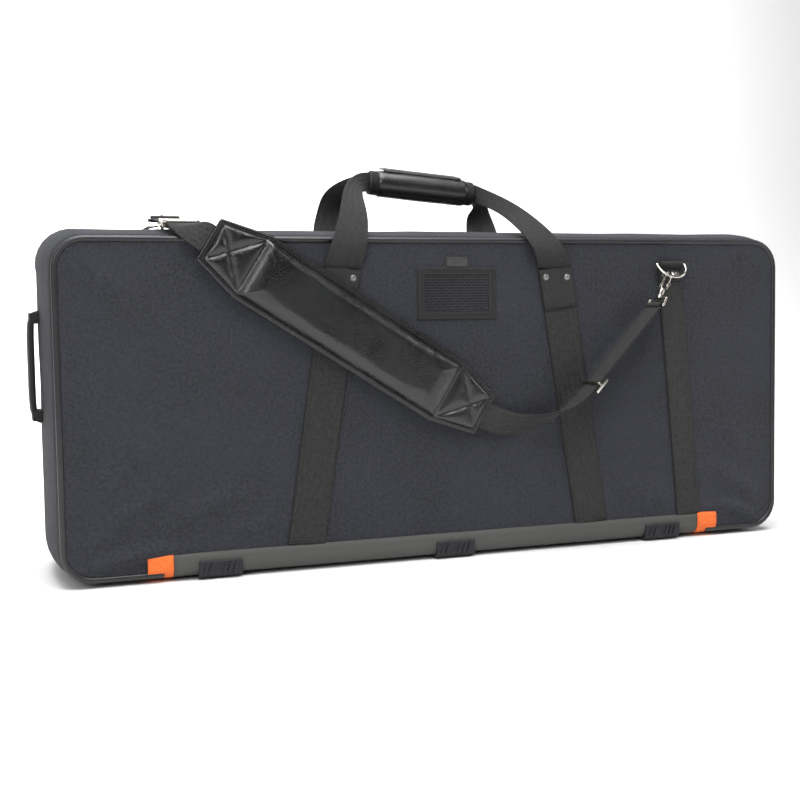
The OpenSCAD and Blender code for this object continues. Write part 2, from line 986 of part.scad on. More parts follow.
module side_handle_ends() {
    color([0.12, 0.12, 0.13])
        for (sz = [-1, 1])
            translate([side_x, band_mid - side_w / 2, side_z + sz * (side_l - side_end_l) / 2 - side_end_l / 2])
                difference() {
                    cube([side_gap + 2.2, side_w, side_end_l]);
                    translate([case_w / 2 + crown_end + side_gap, side_w / 2, 0])
                        end_crown_cut();
                }
}

end_arc_r = (band_half * band_half + crown_end * crown_end) / (2 * crown_end);

module end_crown_cut() {
    translate([-case_w / 2 - crown_end + end_arc_r, 0, -1])
        cylinder(r = end_arc_r + 0.05, h = side_end_l + 2, $fn = 360);
}

// ---- Shoulder pad and strap ----

module at_pad() {
    translate([pad_x, pad_y, pad_z])
        rotate([0, pad_slope, 0])
            children();
}

module pad_outline() {
    polygon([
        [-pad_l / 2, -pad_end_w / 2], [-pad_l / 2 + pad_taper, -pad_w / 2],
        [pad_l / 2 - pad_taper, -pad_w / 2], [pad_l / 2, -pad_end_w / 2],
        [pad_l / 2, pad_end_w / 2], [pad_l / 2 - pad_taper, pad_w / 2],
        [-pad_l / 2 + pad_taper, pad_w / 2], [-pad_l / 2, pad_end_w / 2]
    ]);
}

module cushion_outline(inset) {
    square([pad_l - 2 * pad_taper - 2 * inset, pad_w - 2 * flange_w - 2 * inset], center = true);
}

module pad_back() {
    color([0.12, 0.12, 0.13])
        at_pad()
            slab(-pad_skin, 0)
                pad_outline();
}

module pad_foam() {
    color([0.6, 0.6, 0.6])
        at_pad()
            slab(-pad_skin - cushion_h + leather_t, -pad_skin)
                cushion_outline(leather_t);
}

module pad_cover() {
    color([0.1, 0.11, 0.12])
        at_pad()
            difference() {
                union() {
                    slab(-2 * pad_skin, -pad_skin)
                        pad_outline();
                    slab(-pad_skin - cushion_h, -pad_skin)
                        cushion_outline(0);
                }
                slab(-pad_skin - cushion_h + leather_t, -pad_skin + 1)
                    cushion_outline(leather_t);
            }
}

web_line_y = pad_y - pad_skin;
strap_t = 2.4;
pad_along = [pad_c, 0, -pad_s];
pad_across = [pad_s, 0, pad_c] * strap_w / 2;
pad_low = [low_end_x, web_line_y, low_end_z];
pad_top = [top_end_x, web_line_y, top_end_z];
eye_wire = 1.8;
eye_top = -4 - eye_wire;
roll_out = eye_wire + 0.3 + strap_t;
front_eye = front_swivel - eye_l * [sin(front_hook_lean), 0, cos(front_hook_lean)];
rear_eye = rear_swivel - eye_l * rear_hook_dir;
low_slider = [low_slider_x, web_y - strap_w / 2 - 5.5, low_slider_z];
low_run = unit(low_slider - front_eye);
low_start = front_eye + low_run * (roll_out - strap_t / 2);
top_slider = [rear_eye[0] + 6, -82, crown_z(-82) + 11];
top_run = unit(top_slider - rear_eye);
top_start = rear_eye + top_run * (roll_out - strap_t / 2);
strap_edge = [0, strap_w / 2, 0];
low_bend_steps = 16;
top_bend_steps = 12;

module strap_lower() {
    slider_end = low_slider + low_run * 14;
    color([0.2, 0.2, 0.19]) {
        ribbon(concat(
            [[low_start, -strap_edge], [slider_end, -strap_edge]],
            [
                for (i = [1:low_bend_steps])
                    let (t = i / low_bend_steps)
                    [
                        curve(slider_end, slider_end + low_run * 50, pad_low + pad_along * 60, pad_low, t),
                        strap_w / 2 * unit(mix(-strap_edge, pad_across, t))
                    ]
            ]
        ), strap_t);
        eye_roll(front_eye, [90, 0, 0]);
    }
}

module strap_upper() {
    slider_end = top_slider + top_run * 14;
    color([0.2, 0.2, 0.19]) {
        ribbon(concat(
            [[top_start, [strap_w / 2, 0, 0]], [slider_end, [strap_w / 2, 0, 0]]],
            [
                for (i = [1:top_bend_steps])
                    let (t = i / top_bend_steps)
                    [
                        curve(slider_end, slider_end + top_run * 24, pad_top - pad_along * 18, pad_top, t),
                        strap_w / 2 * unit(mix([strap_w / 2, 0, 0], pad_across, t))
                    ]
            ]
        ), strap_t);
        eye_roll(rear_eye, [0, 90, 0]);
    }
}

// Webbing rolled round the bar of a hook's eye
module eye_roll(at, turn) {
    translate(at)
        rotate(turn)
            difference() {
                cylinder(r = roll_out, h = strap_w - 1, center = true);
                cylinder(r = eye_wire + 0.3, h = strap_w + 1, center = true);
            }
}

module at_front_hook() {
    translate(front_swivel)
        rotate([0, front_hook_lean, 0])
            rotate([-front_hook_out, 0, 0])
                children();
}

module at_rear_hook() {
    translate(rear_swivel)
        rotate([-90 - rear_hook_dip, 0, 0])
            children();
}

// Stud that a snap hook turns on, with its collar
module hook_stud() {
    translate([0, 0, eye_top])
        cylinder(r = 3, h = -eye_top - 0.4);
    translate([0, 0, -1])
        cylinder(r = 1.6, h = 6);
}

// Wire loop that holds the webbing; its bars lie along local Y
module hook_loop() {
    for (z = [eye_top, -eye_l])
        translate([0, 0, z])
            rotate([90, 0, 0])
                cylinder(r = eye_wire, h = 2 * eye_half, center = true);
    for (sy = [-1, 1]) {
        translate([0, sy * eye_half, -eye_l])
            cylinder(r = eye_wire, h = eye_top + eye_l);
        for (z = [eye_top, -eye_l])
            translate([0, sy * eye_half, z])
                sphere(r = eye_wire);
    }
}

module strap_eyes() {
    color([0.78, 0.76, 0.72]) {
        at_front_hook()
            hook_stud();
        translate(front_swivel)
            rotate([0, front_hook_lean, 0])
                hook_loop();
        at_rear_hook()
            rotate([0, 0, 90]) {
                hook_stud();
                hook_loop();
            }
    }
}

gate_z = 12.5;
gate_y = -hook_gap / 2 - hook_wall / 2;
nose_z = hook_l - 11;
knuckle_t = 1.8;

// Claw of a snap hook in local Y and Z, open on the -Y side where the gate sits
module claw_outline() {
    difference() {
        union() {
            translate([0, hook_l - hook_half])
                circle(r = hook_half);
            translate([-hook_half, 7])
                square([2 * hook_half, hook_l - hook_half - 7]);
        }
        translate([0, hook_l - hook_half])
            circle(r = hook_gap / 2);
        translate([-hook_gap / 2, 12])
            square([hook_gap, hook_l - hook_half - 12]);
        translate([-hook_half - 1, gate_z + 2.6])
            square([hook_wall + 1 + eps, nose_z - gate_z - 2.6]);
    }
}

module snap_hook() {
    color([0.78, 0.76, 0.72])
        difference() {
            union() {
                rotate([90, 0, 90])
                    linear_extrude(hook_t, center = true)
                        claw_outline();
                cylinder(r = swivel_r, h = 9);
            }
            translate([0, 0, -1])
                cylinder(r = 2, h = 6.6);
            translate([-knuckle_t / 2 - 0.3, -hook_half - 1, 9.4])
                cube([knuckle_t + 0.6, hook_wall + 3, 6]);
            translate([0, gate_y, gate_z])
                rotate([0, 90, 0])
                    cylinder(r = 1, h = hook_t + 2, center = true);
        }
}

module hook_gate() {
    color([0.7, 0.68, 0.64])
        translate([0, gate_y, gate_z]) {
            rotate([0, 90, 0])
                cylinder(r = 0.75, h = hook_t, center = true);
            rotate([0, 90, 0])
                cylinder(r = 1.6, h = knuckle_t, center = true);
            translate([-knuckle_t / 2, -1.3, 0])
                cube([knuckle_t, 2.6, nose_z - gate_z - 0.5]);
            translate([-knuckle_t / 2, -6, 1])
                cube([knuckle_t, 5, 2]);
        }
}

module hook_front() {
    at_front_hook()
        snap_hook();
}

module hook_rear() {
    at_rear_hook()
        snap_hook();
}

module hook_gate_front() {
    at_front_hook()
        hook_gate();
}

module hook_gate_rear() {
    at_rear_hook()
        hook_gate();
}

// Three-bar slider that hugs a band lying in local X, running along local Z
module strap_slider() {
    bar = 1.7;
    lift = strap_t / 2 + 0.3 + bar;
    rail = strap_w / 2 + 0.8 + bar;
    color([0.78, 0.76, 0.72]) {
        for (z = [-10, 10])
            translate([0, -lift, z])
                rotate([0, 90, 0])
                    cylinder(r = bar, h = 2 * rail, center = true);
        translate([0, lift, 0])
            rotate([0, 90, 0])
                cylinder(r = bar, h = 2 * rail, center = true);
        for (sx = [-1, 1]) {
            translate([sx * rail - bar, -lift - bar, -10 - bar])
                cube([2 * bar, 2 * bar, 20 + 2 * bar]);
            translate([sx * rail - bar, -lift, -bar])
                cube([2 * bar, 2 * lift, 2 * bar]);
        }
    }
}

module slider_lower() {
    translate(low_slider)
        rotate([0, atan2(-low_run[0], -low_run[2]), 0])
            rotate([asin(low_run[1]), 0, 90])
                strap_slider();
}

module slider_upper() {
    translate(top_slider)
        rotate([90 - asin(top_run[2]), 0, atan2(top_run[0], -top_run[1])])
            rotate([0, 0, 180])
                strap_slider();
}

// ---- Foam cradles inside ----

inner_z0 = shell_z0 + board_inset + lining + soft_gap;
inner_z1 = shell_z1 - board_inset - lining - soft_gap;
inner_y0 = face_y + board_inset + lining + soft_gap;
saddle_y = 20;

module cradle(side) {
    color([0.4, 0.4, 0.42])
        difference() {
            translate([side * cradle_x - cradle_w / 2, inner_y0, inner_z0])
                cube([cradle_w, band_y1 - inner_y0, inner_z1 - inner_z0]);
            translate([side * cradle_x, saddle_y, shell_mid])
                rotate([0, 90, 0])
                    cylinder(r = saddle_r, h = cradle_w + 2, center = true);
            translate([side * cradle_x - cradle_w / 2 - 1, saddle_y, shell_mid - saddle_r])
                cube([cradle_w + 2, case_d, 2 * saddle_r]);
        }
}

module cradle_left() {
    cradle(-1);
}

module cradle_right() {
    cradle(1);
}

front_panel();
front_foam();
body_lining();
main_gusset();
top_foam();
bottom_foam();
end_foams();
corner_foams();
front_piping();
wear_panel();
orange_bands();
runner_feet();
foot_screws();
hinge_roll();
zip_chain_body();
lid_panel();
lid_foam();
lid_lining();
lid_gusset();
lid_piping();
zip_chain_lid();
zip_slider_left();
zip_slider_right();
zip_pull_left();
zip_pull_right();
handle_webbing_left();
handle_webbing_right();
rear_handle_webbings();
rivets();
front_strap_left();
front_strap_right();
rear_strap_left();
rear_strap_right();
grip_core();
grip_wrap();
grip_flap();
ring_webbing();
front_ring_loop();
rear_ring_loop();
front_d_ring();
rear_d_ring();
pocket_frame();
pocket_mesh();
pocket_tab();
side_handle_strap();
side_handle_ends();
pad_back();
pad_foam();
pad_cover();
strap_upper();
strap_lower();
strap_eyes();
slider_upper();
slider_lower();
hook_front();
hook_rear();
hook_gate_front();
hook_gate_rear();
cradle_left();
cradle_right();
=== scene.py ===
"""Looks of a long soft telescope carry case, built round its fixed CAD model."""

import logging
import math
from dataclasses import dataclass
from enum import Enum
from typing import Sequence, Union

import bmesh
import bpy
import numpy as np
from mathutils import Matrix, Vector, noise


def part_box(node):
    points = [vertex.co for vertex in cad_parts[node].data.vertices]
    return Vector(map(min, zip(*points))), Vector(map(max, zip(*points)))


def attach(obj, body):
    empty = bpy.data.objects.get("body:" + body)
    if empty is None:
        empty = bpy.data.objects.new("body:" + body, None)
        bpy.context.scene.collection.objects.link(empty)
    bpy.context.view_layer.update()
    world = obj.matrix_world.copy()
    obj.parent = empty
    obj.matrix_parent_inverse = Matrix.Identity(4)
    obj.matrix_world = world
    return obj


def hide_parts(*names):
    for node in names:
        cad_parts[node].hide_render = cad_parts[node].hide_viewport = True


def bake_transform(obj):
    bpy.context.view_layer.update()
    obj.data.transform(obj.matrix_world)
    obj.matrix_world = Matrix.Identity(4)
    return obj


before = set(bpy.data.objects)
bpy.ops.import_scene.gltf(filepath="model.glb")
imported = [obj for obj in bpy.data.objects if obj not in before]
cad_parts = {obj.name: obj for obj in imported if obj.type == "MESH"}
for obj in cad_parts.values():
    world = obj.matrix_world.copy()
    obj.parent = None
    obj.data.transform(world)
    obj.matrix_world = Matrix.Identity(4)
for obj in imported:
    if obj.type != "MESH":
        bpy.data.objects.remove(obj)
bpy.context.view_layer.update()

LOG = logging.getLogger("carry_case")
WEAVE_UV = "weave"
Point = Sequence[float]
Colour = tuple[float, float, float]
Obj = bpy.types.Object
Socket = bpy.types.NodeSocket
Value = Union[Socket, float]
Tint = Union[Socket, Colour]
GeometryTree = bpy.types.GeometryNodeTree
ShaderTree = bpy.types.ShaderNodeTree
TURN = 2 * math.pi


# ---- Meshes ----


def unit(v: Point) -> np.ndarray:
    """Returns v at length one."""
    v = np.asarray(v, float)
    return v / max(float(np.linalg.norm(v)), 1e-12)


def smooth_step(lo: float, hi: float, x: float) -> float:
    """Returns 0 below lo, 1 above hi and a smooth ramp between them."""
    t = min(1.0, max(0.0, (x - lo) / (hi - lo)))
    return t * t * (3 - 2 * t)


def bezier(a: Point, b: Point, c: Point, d: Point, t: float) -> np.ndarray:
    """Returns the point at t on a cubic curve with the four given handles."""
    a, b, c, d = (np.asarray(p, float) for p in (a, b, c, d))
    s = 1 - t
    return s**3 * a + 3 * s * s * t * b + 3 * s * t * t * c + t**3 * d


def circle(radius: float, count: int) -> list[tuple[float, float]]:
    """Returns evenly spaced points of a circle about the origin."""
    return [(radius * math.cos(TURN * k / count), radius * math.sin(TURN * k / count)) for k in range(count)]


def tilted(points: np.ndarray, degrees: float, shift: Point) -> np.ndarray:
    """Turns points about Y, so that their right end sinks, and shifts them.

    Args:
        points: an array of points.
        degrees: the turn.
        shift: where the origin goes.

    Returns:
        The new points.
    """
    a = math.radians(degrees)
    x, y, z = points[..., 0], points[..., 1], points[..., 2]
    right, up = x * math.cos(a) + z * math.sin(a), -x * math.sin(a) + z * math.cos(a)
    return np.stack([right + shift[0], y + shift[1], up + shift[2]], -1)


def lengths(points: np.ndarray) -> np.ndarray:
    """Returns the running length along a row of points, starting at 0."""
    steps = np.linalg.norm(np.diff(points, axis=0), axis=1)
    return np.concatenate([[0.0], np.cumsum(steps)])


def respaced(points: Sequence[Point], count: int) -> np.ndarray:
    """Spreads points evenly along a path.

    Args:
        points: the path's corners.
        count: how many points to give back.

    Returns:
        An array of count evenly spaced points.
    """
    path = np.asarray(points, float)
    run = lengths(path)
    at = np.linspace(0, run[-1], count)
    return np.stack([np.interp(at, run, path[:, k]) for k in range(3)], axis=1)


def tangents(points: np.ndarray, closed: bool = False) -> np.ndarray:
    """Returns the unit direction of travel at each point of a path."""
    if closed:
        step = np.roll(points, -1, axis=0) - np.roll(points, 1, axis=0)
    else:
        step = np.gradient(points, axis=0)
    return step / np.maximum(np.linalg.norm(step, axis=1, keepdims=True), 1e-12)


class MeshMaker:
    """Makes plain mesh objects at the origin, with a weave UV map in metres."""

    @staticmethod
    def from_data(
        name: str,
        verts: np.ndarray,
        faces: Sequence[Sequence[int]],
        uvs: np.ndarray | None = None,
        smooth: bool = True,
    ) -> Obj:
        """Builds one object.

        Args:
            name: the object's name.
            verts: its points, in metres.
            faces: indices of each face's points.
            uvs: one pair for each corner of each face, in metres.
            smooth: whether its faces are shaded smooth.

        Returns:
            The new object, linked to the scene.
        """
        mesh = bpy.data.meshes.new(name)
        mesh.from_pydata(np.asarray(verts, float).tolist(), [], [list(f) for f in faces])
        mesh.update()
        obj = bpy.data.objects.new(name, mesh)
        bpy.context.scene.collection.objects.link(obj)
        if uvs is not None:
            layer = mesh.uv_layers.new(name=WEAVE_UV)
            layer.data.foreach_set("uv", np.asarray(uvs, np.float32).ravel())
        if smooth:
            mesh.shade_smooth()
        return obj

    @staticmethod
    def loft(
        name: str,
        rings: np.ndarray,
        ring_closed: bool = True,
        path_closed: bool = False,
        caps: bool = True,
        across: np.ndarray | None = None,
    ) -> Obj:
        """Joins a row of equal sections with quads.

        Args:
            name: the object's name.
            rings: sections, as an array of sections by points by 3.
            ring_closed: whether each section is a closed loop.
            path_closed: whether the last section joins the first.
            caps: whether the two ends are filled.
            across: the weave's first coordinate at each point of a section.

        Returns:
            The new object.
        """
        rings = np.asarray(rings, float)
        n, m, _ = rings.shape
        rows = n if path_closed else n - 1
        cols = m if ring_closed else m - 1
        middle = rings.mean(axis=1)
        along = lengths(np.vstack([middle, middle[:1]]))
        if across is None:
            first = rings[n // 2]
            across = lengths(np.vstack([first, first[:1]]))
        elif len(across) == m:
            across = np.append(across, across[0])
        i, j = np.meshgrid(np.arange(rows), np.arange(cols), indexing="ij")
        i2, j2 = (i + 1) % n, (j + 1) % m
        quads = np.stack([i * m + j, i2 * m + j, i2 * m + j2, i * m + j2], axis=-1).reshape(-1, 4)
        uv = np.stack(
            [
                np.stack([across[j], along[i]], -1),
                np.stack([across[j], along[i + 1]], -1),
                np.stack([across[j + 1], along[i + 1]], -1),
                np.stack([across[j + 1], along[i]], -1),
            ],
            axis=2,
        ).reshape(-1, 2)
        faces = quads.tolist()
        uvs = [uv]
        if caps and ring_closed and not path_closed:
            for start, order in ((0, range(m)), ((n - 1) * m, range(m - 1, -1, -1))):
                faces.append([start + k for k in order])
                uvs.append(np.array([[across[k], along[0 if start == 0 else n - 1]] for k in order]))
        obj = MeshMaker.from_data(name, rings.reshape(-1, 3), faces, np.vstack(uvs))
        if ring_closed:
            MeshMaker.face_outwards(obj)
        return obj

    @staticmethod
    def face_outwards(obj: Obj) -> None:
        """Turns every face of a closed mesh to point outwards."""
        bm = bmesh.new()
        bm.from_mesh(obj.data)
        bmesh.ops.recalc_face_normals(bm, faces=bm.faces)
        bm.to_mesh(obj.data)
        bm.free()

    @staticmethod
    def box_weave(obj: Obj) -> None:
        """Gives an object a weave UV map in metres, laid on from its six sides."""
        mesh = obj.data
        if WEAVE_UV in mesh.uv_layers:
            mesh.uv_layers.remove(mesh.uv_layers[WEAVE_UV])
        layer = mesh.uv_layers.new(name=WEAVE_UV)
        for face in mesh.polygons:
            n = [abs(c) for c in face.normal]
            if n[1] >= n[0] and n[1] >= n[2]:
                a, b = 0, 2
            elif n[2] >= n[0]:
                a, b = 0, 1
            else:
                a, b = 1, 2
            for k in face.loop_indices:
                co = mesh.vertices[mesh.loops[k].vertex_index].co
                layer.data[k].uv = (co[a], co[b])

    @staticmethod
    def refined(
        node: str, name: str, bevel: float = 0.0, segments: int = 2, limit: float = 35.0
    ) -> Obj:
        """Copies a CAD node's shape, welds it and rounds its sharp edges.

        Args:
            node: the CAD node.
            name: the new object's name.
            bevel: radius of the rounding, in metres.
            segments: faces across the rounding.
            limit: edges sharper than this many degrees are rounded.

        Returns:
            The new object, which stands for the node.
        """
        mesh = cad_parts[node].data.copy()
        mesh.name = name
        mesh.materials.clear()
        bm = bmesh.new()
        bm.from_mesh(mesh)
        bmesh.ops.remove_doubles(bm, verts=bm.verts, dist=2e-6)
        bmesh.ops.dissolve_limit(
            bm, angle_limit=math.radians(1.0), verts=bm.verts, edges=bm.edges
        )
        if bevel:
            sharp = [
                e
                for e in bm.edges
                if len(e.link_faces) == 2 and e.calc_face_angle(0) > math.radians(limit)
            ]
            bmesh.ops.bevel(
                bm,
                geom=sharp,
                offset=bevel,
                offset_type="OFFSET",
                segments=segments,
                profile=0.6,
                affect="EDGES",
                clamp_overlap=True,
            )
        bmesh.ops.triangulate(bm, faces=[f for f in bm.faces if len(f.verts) > 4])
        bm.to_mesh(mesh)
        bm.free()
        for layer in list(mesh.uv_layers):
            mesh.uv_layers.remove(layer)
        obj = bpy.data.objects.new(name, mesh)
        bpy.context.scene.collection.objects.link(obj)
        mesh.shade_smooth()
        mesh.set_sharp_from_angle(angle=math.radians(38))
        MeshMaker.box_weave(obj)
        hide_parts(node)
        return obj

    @staticmethod
    def ribbon(
        name: str,
        centres: np.ndarray,
        halves: np.ndarray,
        thick: float,
        closed: bool = False,
        across_steps: int = 8,
    ) -> Obj:
        """Makes a woven band with rounded edges along a path.

        Args:
            name: the object's name.
            centres: points along the middle of the band.
            halves: at each point, the vector from the middle to one edge.
            thick: the band's thickness.
            closed: whether the band is a loop.
            across_steps: faces across the band.

        Returns:
            The new object, with the weave running along it.
        """
        centres, halves = np.asarray(centres, float), np.asarray(halves, float)
        travel = tangents(centres, closed)
        up = np.cross(travel, halves)
        up /= np.maximum(np.linalg.norm(up, axis=1, keepdims=True), 1e-12)
        half = float(np.linalg.norm(halves[len(halves) // 2]))
        rim = min(thick * 0.45, half * 0.3) / half
        row = np.linspace(-1 + rim, 1 - rim, across_steps + 1)
        top = [(a, 0.5) for a in row] + [(1 - rim * 0.3, 0.36), (1.0, 0.0)]
        low = [(1 - rim * 0.3, -0.36)] + [(a, -0.5) for a in row[::-1]]
        low += [(-1 + rim * 0.3, -0.36), (-1.0, 0.0), (-1 + rim * 0.3, 0.36)]
        shape = np.array(top + low)
        rings = (
            centres[:, None, :]
            + halves[:, None, :] * shape[None, :, :1]
            + up[:, None, :] * shape[None, :, 1:] * thick
        )
        return MeshMaker.loft(name, rings, True, closed, True, shape[:, 0] * half)

    @staticmethod
    def tube(
        name: str, path: np.ndarray, radius: float | np.ndarray, sides: int = 16, closed: bool = False
    ) -> Obj:
        """Makes a round bar along a path.

        Args:
            name: the object's name.
            path: points along its middle.
            radius: its radius, the same all along or one for each point.
            sides: faces round it.
            closed: whether it is a loop.

        Returns:
            The new object.
        """
        path = np.asarray(path, float)
        travel = tangents(path, closed)
        guide = np.array([0.0, 0.0, 1.0])
        if abs(travel[0] @ guide) > 0.9:
            guide = np.array([0.0, 1.0, 0.0])
        side = unit(np.cross(travel[0], guide))
        rings = []
        radius = np.broadcast_to(np.asarray(radius, float), (len(path),))
        for p, t, r in zip(path, travel, radius):
            side = unit(side - t * (side @ t))
            other = np.cross(t, side)
            turn = np.linspace(0, TURN, sides, endpoint=False)
            rings.append(p + r * (np.outer(np.cos(turn), side) + np.outer(np.sin(turn), other)))
        return MeshMaker.loft(name, np.array(rings), True, closed, True)

    @staticmethod
    def join(name: str, objects: Sequence[Obj]) -> Obj:
        """Joins objects of one body and one finish into a single mesh object."""
        bm = bmesh.new()
        for obj in objects:
            bm.from_mesh(obj.data)
            bpy.data.objects.remove(obj)
        mesh = bpy.data.meshes.new(name)
        bm.to_mesh(mesh)
        bm.free()
        obj = bpy.data.objects.new(name, mesh)
        bpy.context.scene.collection.objects.link(obj)
        return obj


# ---- Repeated pieces, placed by Geometry Nodes ----


class Repeater:
    """Builds the Geometry Nodes trees that repeat a small piece."""

    def __init__(self) -> None:
        """Makes both trees once."""
        self.rows = self._rows_tree()
        self.spots = self._spots_tree()
        self.sweep = self._sweep_tree()

    @staticmethod
    def _new_tree(name: str, inputs: Sequence[tuple[str, str, float | None]]) -> GeometryTree:
        """Starts a tree with named inputs.

        Args:
            name: the tree's name.
            inputs: each input's name, socket type and default.

        Returns:
            The tree, with its group input and output in place.
        """
        tree = bpy.data.node_groups.new(name, "GeometryNodeTree")
        face = tree.interface
        face.new_socket("Geometry", in_out="INPUT", socket_type="NodeSocketGeometry")
        for label, kind, value in inputs:
            socket = face.new_socket(label, in_out="INPUT", socket_type=kind)
            if value is not None:
                socket.default_value = value
        face.new_socket("Geometry", in_out="OUTPUT", socket_type="NodeSocketGeometry")
        tree.nodes.new("NodeGroupInput").name = "in"
        tree.nodes.new("NodeGroupOutput").name = "out"
        return tree

    @staticmethod
    def _finish(tree: GeometryTree, socket: Socket) -> None:
        """Ends a tree in real geometry with its material set."""
        real = tree.nodes.new("GeometryNodeRealizeInstances")
        paint = tree.nodes.new("GeometryNodeSetMaterial")
        links = tree.links
        links.new(socket, real.inputs[0])
        links.new(real.outputs[0], paint.inputs["Geometry"])
        links.new(tree.nodes["in"].outputs["Finish"], paint.inputs["Material"])
        links.new(paint.outputs[0], tree.nodes["out"].inputs[0])

    def _rows_tree(self) -> GeometryTree:
        """Returns the tree that sets a piece at even steps along curves."""
        tree = self._new_tree(
            "pieces_in_rows",
            [
                ("Spacing", "NodeSocketFloat", 0.004),
                ("Unevenness", "NodeSocketFloat", 0.06),
                ("Seed", "NodeSocketInt", 7),
                ("Piece", "NodeSocketObject", None),
                ("Finish", "NodeSocketMaterial", None),
            ],
        )
        nodes, links, start = tree.nodes, tree.links, tree.nodes["in"]
        points = nodes.new("GeometryNodeCurveToPoints")
        points.mode = "LENGTH"
        links.new(start.outputs["Geometry"], points.inputs["Curve"])
        links.new(start.outputs["Spacing"], points.inputs["Length"])
        info = nodes.new("GeometryNodeObjectInfo")
        links.new(start.outputs["Piece"], info.inputs["Object"])
        wobble = nodes.new("FunctionNodeRandomValue")
        wobble.data_type = "FLOAT"
        spread = nodes.new("ShaderNodeMath")
        spread.operation = "MULTIPLY"
        spread.inputs[1].default_value = -1.0
        links.new(start.outputs["Unevenness"], spread.inputs[0])
        lows = [s for s in wobble.inputs if s.name == "Min" and s.type == "VALUE"]
        highs = [s for s in wobble.inputs if s.name == "Max" and s.type == "VALUE"]
        links.new(spread.outputs[0], lows[0])
        links.new(start.outputs["Unevenness"], highs[0])
        links.new(start.outputs["Seed"], wobble.inputs["Seed"])
        roll = nodes.new("FunctionNodeRotateRotation")
        roll.rotation_space = "LOCAL"
        turn = nodes.new("FunctionNodeAxisAngleToRotation")
        turn.inputs["Axis"].default_value = (1, 0, 0)
        value = [s for s in wobble.outputs if s.enabled and s.type == "VALUE"][0]
        links.new(value, turn.inputs["Angle"])
        links.new(points.outputs["Rotation"], roll.inputs["Rotation"])
        links.new(turn.outputs[0], roll.inputs["Rotate By"])
        place = nodes.new("GeometryNodeInstanceOnPoints")
        links.new(points.outputs["Points"], place.inputs["Points"])
        links.new(info.outputs["Geometry"], place.inputs["Instance"])
        links.new(roll.outputs[0], place.inputs["Rotation"])
        self._finish(tree, place.outputs[0])
        return tree

    def _spots_tree(self) -> GeometryTree:
        """Returns the tree that sets a piece at points that carry a turn."""
        tree = self._new_tree(
            "pieces_at_spots",
            [
                ("Size", "NodeSocketFloat", 1.0),
                ("Piece", "NodeSocketObject", None),
                ("Finish", "NodeSocketMaterial", None),
            ],
        )
        nodes, links, start = tree.nodes, tree.links, tree.nodes["in"]
        info = nodes.new("GeometryNodeObjectInfo")
        links.new(start.outputs["Piece"], info.inputs["Object"])
        read = nodes.new("GeometryNodeInputNamedAttribute")
        read.data_type = "FLOAT_VECTOR"
        read.inputs["Name"].default_value = "turn"
        to_turn = nodes.new("FunctionNodeEulerToRotation")
        links.new(read.outputs["Attribute"], to_turn.inputs[0])
        place = nodes.new("GeometryNodeInstanceOnPoints")
        links.new(start.outputs["Geometry"], place.inputs["Points"])
        links.new(info.outputs["Geometry"], place.inputs["Instance"])
        links.new(to_turn.outputs[0], place.inputs["Rotation"])
        links.new(start.outputs["Size"], place.inputs["Scale"])
        self._finish(tree, place.outputs[0])
        return tree

    def _sweep_tree(self) -> GeometryTree:
        """Returns the tree that sweeps a round section along curves."""
        tree = self._new_tree(
            "round_cord_sweep",
            [
                ("Radius", "NodeSocketFloat", 0.004),
                ("Sides", "NodeSocketInt", 16),
                ("Finish", "NodeSocketMaterial", None),
            ],
        )
        nodes, links, start = tree.nodes, tree.links, tree.nodes["in"]
        ring = nodes.new("GeometryNodeCurvePrimitiveCircle")
        links.new(start.outputs["Radius"], ring.inputs["Radius"])
        links.new(start.outputs["Sides"], ring.inputs["Resolution"])
        sweep = nodes.new("GeometryNodeCurveToMesh")
        sweep.inputs["Fill Caps"].default_value = True
        links.new(start.outputs["Geometry"], sweep.inputs["Curve"])
        links.new(ring.outputs[0], sweep.inputs["Profile Curve"])
        self._finish(tree, sweep.outputs[0])
        return tree

    @staticmethod
    def _made_plain(obj: Obj, tree: GeometryTree, values: dict, name: str) -> Obj:
        """Runs a tree on an object and keeps the result as a plain mesh.

        Args:
            obj: the object that carries the tree's input.
            tree: the tree.
            values: the named inputs.
            name: the new object's name.

        Returns:
            The plain mesh object.
        """
        modifier = obj.modifiers.new("repeat", "NODES")
        modifier.node_group = tree
        sockets = {s.name: s.identifier for s in tree.interface.items_tree if s.in_out == "INPUT"}
        for label, value in values.items():
            modifier[sockets[label]] = value
        bpy.context.view_layer.update()
        graph = bpy.context.evaluated_depsgraph_get()
        mesh = bpy.data.meshes.new_from_object(obj.evaluated_get(graph), depsgraph=graph)
        mesh.name = name
        bpy.data.objects.remove(obj)
        made = bpy.data.objects.new(name, mesh)
        bpy.context.scene.collection.objects.link(made)
        for layer in list(mesh.uv_layers):
            mesh.uv_layers.remove(layer)
        MeshMaker.box_weave(made)
        return made

    @staticmethod
    def _curves(paths: Sequence[Sequence[Point]], closed: bool) -> Obj:
        """Returns an object with one poly curve for each path."""
        data = bpy.data.curves.new("rows", "CURVE")
        data.dimensions = "3D"
        for path in paths:
            spline = data.splines.new("POLY")
            spline.points.add(len(path) - 1)
            for point, co in zip(spline.points, path):
                point.co = (*co, 1.0)
            spline.use_cyclic_u = closed
        obj = bpy.data.objects.new("rows", data)
        bpy.context.scene.collection.objects.link(obj)
        return obj

